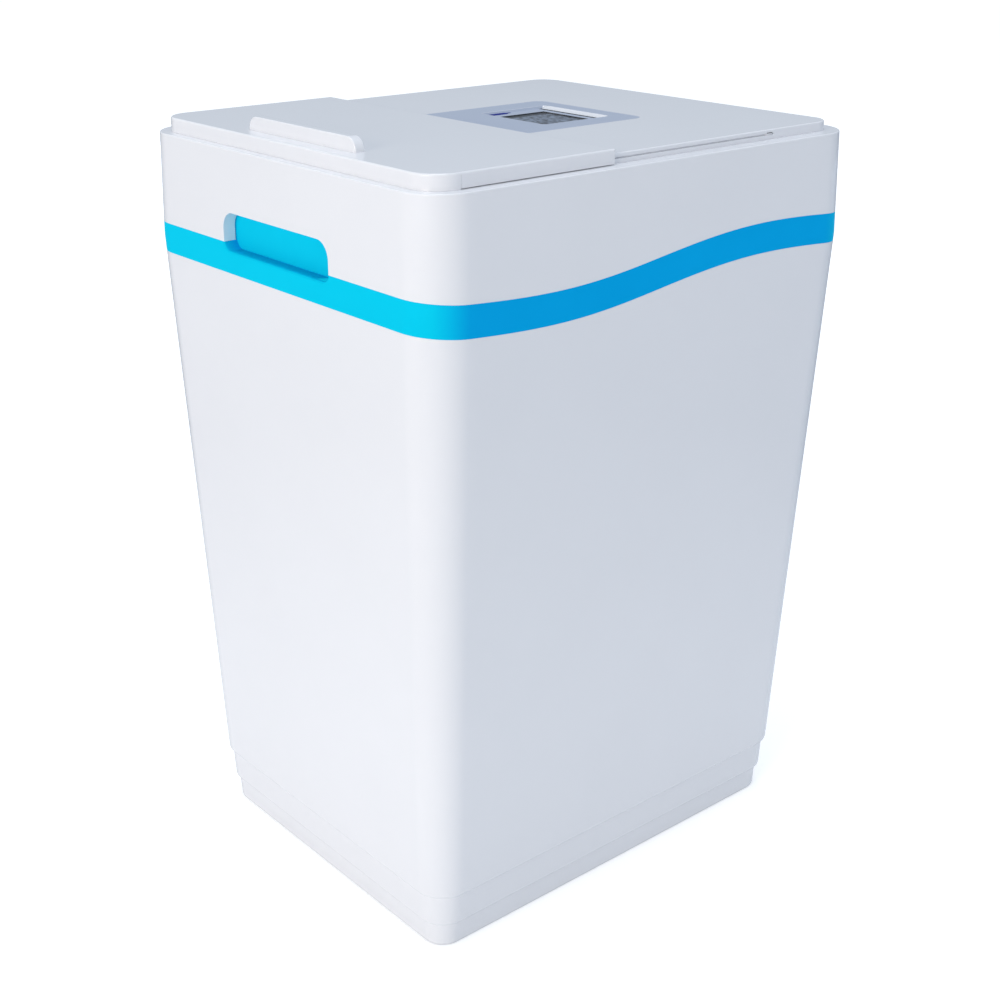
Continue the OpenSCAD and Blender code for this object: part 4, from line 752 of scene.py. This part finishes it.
def place_piece(obj, body, slot, *nodes):
    """Gives a new piece its finish, its body and the solids that it stands for."""
    shade(obj)
    obj.data.materials.clear()
    obj.data.materials.append(finishes[slot])
    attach(obj, body)
    if nodes:
        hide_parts(*nodes)


place_piece(salt_tank(), "cabinet", "white_shell", "salt_tank")
place_piece(trim_band(), "cabinet", "blue_trim", "trim_band")
place_piece(top_casing(), "cabinet", "white_shell", "top_casing")
place_piece(service_deck(), "cabinet", "white_shell", "service_deck")
place_piece(salt_lid(), "hatch", "white_shell", "salt_lid")
place_piece(label_sheet(), "cabinet", "label_film", "label_plate")
place_piece(display_frame(), "cabinet", "white_shell", "display_bezel")
place_piece(screen_border(), "cabinet", "black_moulding")
place_piece(ledge_film(), "cabinet", "label_film")
place_piece(screen_film(), "cabinet", "screen")
place_piece(light_bar(), "cabinet", "blue_light", "status_light")
place_piece(threaded_tail("inlet_tail", -PORT_X), "cabinet", "black_moulding", "inlet_adapter")
place_piece(threaded_tail("outlet_tail", PORT_X), "cabinet", "black_moulding", "outlet_adapter")
place_piece(spider(PORT_X), "cabinet", "black_moulding")
place_piece(barbs("drain_barbs", DRAIN_TIP, (0, -1, 0), DRAIN_R, *DRAIN_BARBS), "cabinet", "black_moulding")
place_piece(barbs("overflow_barbs", OVERFLOW_TIP, (0, 0, 1), OVERFLOW_R, *OVERFLOW_BARBS), "cabinet", "black_moulding")
place_piece(overflow_nut(), "cabinet", "black_moulding", "overflow_nut")
place_piece(socket_pin(), "cabinet", "motor_steel")
place_piece(screws("case_screw_heads", CASE_SCREWS, (0, 1, 0), *CASE_SCREW), "cabinet", "motor_steel", "case_screws")
place_piece(screws("deck_screw_heads", DECK_SCREWS, (0, 0, 1), *DECK_SCREW), "cabinet", "motor_steel", "deck_screws")

# ---- stage, light and camera --------------------------------------------------------------------

# The photograph's frame lies a little to one side of the lens's axis, hence the shift
TARGET = Vector((-0.2, -8.8, 284.4)) * MM
CAMERA_AT = Vector((923.51, -789.81, 777.91)) * MM
LENS, SENSOR, SHIFT, CLIP = 55.833, 36.0, 0.0087, 0.02
# Stage sizes in metres
MIDDLE = Vector((0, 0, 0.3))
FLOOR = 30.0

camera_data = bpy.data.cameras.new("camera")
camera_data.lens, camera_data.sensor_width = LENS, SENSOR
camera_data.shift_x, camera_data.clip_start = SHIFT, CLIP
camera = bpy.data.objects.new("camera", camera_data)
camera.location = CAMERA_AT
camera.rotation_euler = (TARGET - CAMERA_AT).to_track_quat("-Z", "Y").to_euler()
bpy.context.scene.collection.objects.link(camera)
bpy.context.scene.camera = camera


def softbox(name, place, size, power, colour, mirrored=True):
    """Square lamp that faces the middle of the cabinet. A fill lamp isn't mirrored in the gloss."""
    data = bpy.data.lights.new(name, "AREA")
    data.shape, data.size, data.energy, data.color = "SQUARE", size, power, linear(colour)[:3]
    lamp = bpy.data.objects.new(name, data)
    lamp.location = place
    lamp.visible_glossy = mirrored
    lamp.rotation_euler = (MIDDLE - Vector(place)).to_track_quat("-Z", "Y").to_euler()
    bpy.context.scene.collection.objects.link(lamp)


softbox("front_softbox", (1.3, -5.0, 1.5), 2.4, 129, "#fff4e7")
softbox("right_softbox", (3.7, 0.9, 0.9), 1.0, 5, "#f6f9ff")
softbox("left_softbox", (-3.7, 0.6, 0.8), 2.0, 26, "#f6f9ff", False)
softbox("back_softbox", (0.4, 3.8, 0.8), 2.0, 26, "#f6f9ff", False)
softbox("top_softbox", (0.0, -0.1, 2.5), 1.3, 15.5, "#f4f8ff")


def ray_kinds(tree):
    """Whether a ray is mirrored in a gloss, and whether it comes from the camera or through the lens."""
    path = add(tree, "LightPath")
    seen = add(tree, "Math", {"operation": "MAXIMUM"},
               links={0: path.outputs["Is Camera Ray"], 1: path.outputs["Is Transmission Ray"]})
    return path.outputs["Is Glossy Ray"], seen.outputs[0]


def studio():
    """Room that is white to the camera and through the lens, and a grey light, dimmer where a gloss mirrors it."""
    world = bpy.data.worlds.new("studio")
    world.use_nodes = True
    tree = world.node_tree
    tree.nodes.clear()
    mirrored, seen = ray_kinds(tree)
    tone = add(tree, "Mix", {"data_type": "RGBA"}, {6: linear("#b8c1cb"), 7: linear("#a6aeb8")}, {0: mirrored})
    room = add(tree, "Background", values={"Strength": 1.0}, links={"Color": tone.outputs[2]})
    white = add(tree, "Background", values={"Color": (1, 1, 1, 1), "Strength": 1.0})
    mixed = add(tree, "MixShader", links={0: seen, 1: room.outputs[0], 2: white.outputs[0]})
    add(tree, "OutputWorld", links={0: mixed.outputs[0]})
    return world


def white_paper():
    """Paper that is white to the camera and through the lens. A gloss mirrors it white near by and grey farther off."""
    paper = bpy.data.materials.new("white_paper")
    paper.use_nodes = True
    tree = paper.node_tree
    tree.nodes.clear()
    mirrored, seen = ray_kinds(tree)
    far = add(tree, "VectorMath", {"operation": "LENGTH"}, links={0: add(tree, "TexCoord").outputs["Object"]})
    lift = add(tree, "MapRange", values={"From Min": 0.8, "From Max": 4.0, "To Min": 0.38, "To Max": 0.58},
               links={0: far.outputs["Value"]})
    lift = add(tree, "Math", {"operation": "MULTIPLY"}, links={0: seen, 1: lift.outputs[0]})
    dim = add(tree, "MapRange", values={"From Min": 0.35, "From Max": 1.1}, links={0: far.outputs["Value"]})
    dim = add(tree, "Math", {"operation": "MULTIPLY"}, links={0: mirrored, 1: dim.outputs[0]})
    tone = add(tree, "Mix", {"data_type": "RGBA"}, {6: linear("#f4f5f7"), 7: linear("#8d95a1")}, {0: dim.outputs[0]})
    sheet = add(tree, "BsdfDiffuse", links={"Color": tone.outputs[2]})
    glow = add(tree, "Emission", links={"Strength": lift.outputs[0]})
    both = add(tree, "AddShader", links={0: sheet.outputs[0], 1: glow.outputs[0]})
    add(tree, "OutputMaterial", links={0: both.outputs[0]})
    return paper


bpy.context.scene.world = studio()
floor_mesh = bpy.data.meshes.new("floor")
floor_mesh.from_pydata([(x * FLOOR, y * FLOOR, 0) for x, y in ((-1, -1), (1, -1), (1, 1), (-1, 1))], [], [(0, 1, 2, 3)])
floor_mesh.materials.append(white_paper())
floor = bpy.data.objects.new("floor", floor_mesh)
bpy.context.scene.collection.objects.link(floor)

bpy.context.scene.view_settings.view_transform = "Standard"
